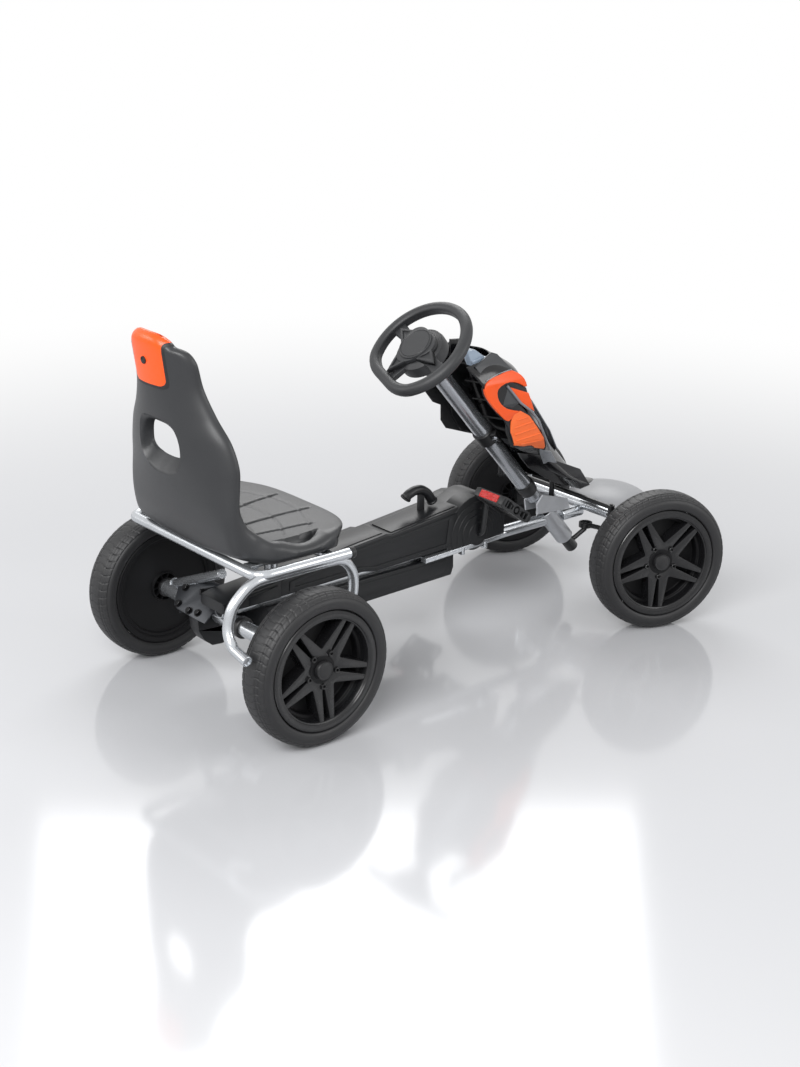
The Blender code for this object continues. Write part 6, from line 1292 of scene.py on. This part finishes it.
# Forged steel under black lacquer: one bent rod makes the axle and both arms.
crank_route = [(CRANK_X + sign * CRANK_TIP[0], y, CRANK_Z + sign * CRANK_TIP[1] * share)
               for y, sign, share in ((CRANK_ENDS[0], 1, 1), (CRANK_ENDS[0], 0, 0), (CRANK_ENDS[1], 0, 0),
                                      (CRANK_ENDS[1], -1, 1))]
crank = swept(rounded_path(crank_route, CRANK_BEND, 10), disc(CRANK_ROD, 24))
pedal_plastic = moulded("polypropylene_moulded_pedal", "161718", "212224", (0.32, 0.44), (0.0010, 0.00006), 0.04)
for tag, sign, end_y in (("right", -1, CRANK_ENDS[0]), ("left", 1, CRANK_ENDS[1])):
    tip = Vector((CRANK_X - sign * CRANK_TIP[0], end_y, CRANK_Z - sign * CRANK_TIP[1]))
    out = Vector((0.0, sign, 0.0))
    join(crank, bar(tip - out * 0.0040, tip + out * 0.0050, 0.0082, 0.0010, 32), bar(tip, tip + out * 0.0800, 0.0045))
    near_y, far_y = sorted((sign * PEDAL_NEAR, sign * PEDAL_FAR))
    cage = side_slab(PEDAL_SIDE, near_y, near_y + PEDAL_RAIL, 0.0010, 2, PEDAL_WINDOWS)
    join(cage, side_slab(PEDAL_SIDE, far_y - PEDAL_RAIL, far_y, 0.0010, 2, PEDAL_WINDOWS))
    for x in PEDAL_BLADES:
        join(cage, box((x - PEDAL_BLADE_HALF, near_y + 0.002, -0.0090), (x + PEDAL_BLADE_HALF, far_y - 0.002, 0.0103),
                       0.0006))
    for along in PEDAL_RIBS:
        y = sign * along
        join(cage, box((-0.0410, y - 0.0012, -0.0080), (0.0410, y + 0.0012, 0.0085), 0.0005))
    for low, high in ((near_y, near_y + REFLECTOR_INSET), (far_y - REFLECTOR_INSET, far_y)):
        join(cage, box((-0.0455, low, -0.0085), (-0.0400, high, 0.0085), 0.0010))
    join(cage, hollow_bar((0.0, near_y, 0.0), (0.0, far_y, 0.0), PEDAL_BARREL[0], PEDAL_BARREL[1], 0.0004))
    bmesh.ops.transform(cage, matrix=Matrix.Translation(tip) @ Matrix.Rotation(PEDAL_PITCH, 4, "Y"), verts=cage.verts)
    piece("pedal_" + tag + "_cage", cage, pedal_plastic, "pedal_" + tag, ["pedal_" + tag])
piece("crank_dressed", crank, black_paint, "crank", ["crank"])


def prism_red(name):
    """Red acrylic over a prism back: deep colour with small bright cells of 2.5 mm."""
    material = bpy.data.materials.new(name)
    tree = cleared(material)
    place = node(tree, "ShaderNodeTexCoord").outputs["Object"]
    cells = node(tree, "ShaderNodeTexVoronoi", {"Vector": place, "Scale": 1.0 / 0.0025}, feature="F1")
    colour = node(tree, "ShaderNodeMix", {0: cells.outputs["Distance"], 6: srgb("d8140c"), 7: srgb("8c0a08")},
                  data_type="RGBA")
    bump = node(tree, "ShaderNodeBump", {"Height": cells.outputs["Distance"], "Distance": 0.0004, "Strength": 1.0})
    body = node(tree, "ShaderNodeBsdfPrincipled", {"Base Color": colour.outputs[2], "Normal": bump.outputs["Normal"],
                                                   "Roughness": 0.12})
    node(tree, "ShaderNodeOutputMaterial", {"Surface": body.outputs["BSDF"]})
    return material


reflector_red = prism_red("acrylic_reflector_red")
dress(reflector_red, "pedal_reflector_left", "pedal_reflector_right")


# Brake
# A hand lever on the right of the backbone pulls a rod whose shoe presses on the sprocket's drum. The
# grip is a curved plastic bar pushed over the lever's tip.

LEVER_AT = (0.4545, 0.012, 0.200)
GRIP_PATH = [(-0.043, 0.085), (-0.036, 0.092), (-0.021, 0.097), (-0.004, 0.097), (0.013, 0.086), (0.027, 0.066)]
GRIP_TUBE = 0.0094

dress(casing_plastic, "brake_lever")
grip_line = rounded_path([(LEVER_AT[0] + x, LEVER_AT[1], LEVER_AT[2] + z) for x, z in GRIP_PATH], 0.03)
grip = swept(grip_line, disc(GRIP_TUBE, 28))
for end_point, beside in ((grip_line[0], grip_line[1]), (grip_line[-1], grip_line[-2])):
    inward = (beside - end_point).normalized()
    join(grip, bar(end_point - inward * 0.0004, end_point + inward * 0.0050, 0.0108, 0.0012, 28))
piece("brake_grip_dressed", grip, casing_plastic, "brake_lever", ["brake_grip"])


# Studio

FLOOR_SIZE = 60.0
FLOOR_FADE = (0.90, 2.80)
WORLD_LIGHT = 0.48
LAMPS = [("key_softbox", (-2.6, -1.5, 2.3), 2.2, 98.0), ("back_softbox", (1.6, 2.2, 2.8), 2.4, 52.0),
         ("side_softbox", (1.6, -2.8, 1.6), 1.6, 24.0), ("left_softbox", (-2.6, 1.6, 1.6), 1.6, 20.0)]

floor_shape = bmesh.new()
bmesh.ops.create_grid(floor_shape, x_segments=1, y_segments=1, size=FLOOR_SIZE / 2)
floor_mesh = bpy.data.meshes.new("studio_floor")
floor_shape.to_mesh(floor_mesh)
floor_shape.free()
floor = bpy.data.objects.new("studio_floor", floor_mesh)
bpy.context.scene.collection.objects.link(floor)
paper = bpy.data.materials.new("acrylic_floor_white")
tree = cleared(paper)
seen = node(tree, "ShaderNodeLightPath")
place = node(tree, "ShaderNodeTexCoord").outputs["Object"]
cloud = node(tree, "ShaderNodeTexNoise", {"Vector": place, "Scale": 0.8})
shade = node(tree, "ShaderNodeMix", {0: cloud.outputs["Fac"], 6: srgb("c6c7ca"), 7: srgb("cdced1")}, data_type="RGBA")
gloss = node(tree, "ShaderNodeBsdfPrincipled", {"Base Color": shade.outputs[2], "Roughness": 0.10})
apart = node(tree, "ShaderNodeVectorMath", {0: place}, operation="LENGTH")
fade = node(tree, "ShaderNodeMapRange", {"Value": apart.outputs["Value"], "From Min": FLOOR_FADE[0],
                                         "From Max": FLOOR_FADE[1]}, interpolation_type="SMOOTHSTEP")
shown = node(tree, "ShaderNodeMath", {0: seen.outputs["Is Camera Ray"], 1: fade.outputs["Result"]},
             operation="MULTIPLY")
white = node(tree, "ShaderNodeEmission", {"Color": srgb("ffffff"), "Strength": 1.0})
both = node(tree, "ShaderNodeMixShader", {0: shown.outputs["Value"], 1: gloss.outputs["BSDF"],
                                          2: white.outputs["Emission"]})
node(tree, "ShaderNodeOutputMaterial", {"Surface": both.outputs["Shader"]})
floor_mesh.materials.append(paper)

world = bpy.data.worlds.new("studio")
bpy.context.scene.world = world
tree = cleared(world)
seen = node(tree, "ShaderNodeLightPath")
plain = node(tree, "ShaderNodeMath", {0: seen.outputs["Is Camera Ray"], 1: seen.outputs["Is Glossy Ray"]},
             operation="MAXIMUM")
plain = node(tree, "ShaderNodeMath", {0: plain.outputs["Value"], 1: seen.outputs["Is Transmission Ray"]},
             operation="MAXIMUM")
strength = node(tree, "ShaderNodeMapRange", {"Value": plain.outputs["Value"], "To Min": WORLD_LIGHT, "To Max": 1.0})
sky = node(tree, "ShaderNodeBackground", {"Color": srgb("ffffff"), "Strength": strength.outputs["Result"]})
node(tree, "ShaderNodeOutputWorld", {"Surface": sky.outputs["Background"]})

for name, spot, size, power in LAMPS:
    lamp = bpy.data.lights.new(name, "AREA")
    lamp.shape = "RECTANGLE"
    lamp.size = size
    lamp.size_y = size * 0.7
    lamp.energy = power
    lamp_object = bpy.data.objects.new(name, lamp)
    lamp_object.location = spot
    lamp_object.rotation_euler = (Vector((0.0, 0.0, 0.25)) - Vector(spot)).to_track_quat("-Z", "Y").to_euler()
    bpy.context.scene.collection.objects.link(lamp_object)

lens = bpy.data.cameras.new("camera")
lens.sensor_fit = "HORIZONTAL"
lens.sensor_width = 36.0
lens.lens = CAMERA_FOCAL_PIXELS / IMAGE_WIDTH * lens.sensor_width
camera = bpy.data.objects.new("camera", lens)
camera.matrix_world = Matrix.Translation(CAMERA_PLACE) @ camera_turn().to_4x4()
bpy.context.scene.collection.objects.link(camera)
bpy.context.scene.camera = camera
bpy.context.scene.view_settings.view_transform = "Standard"
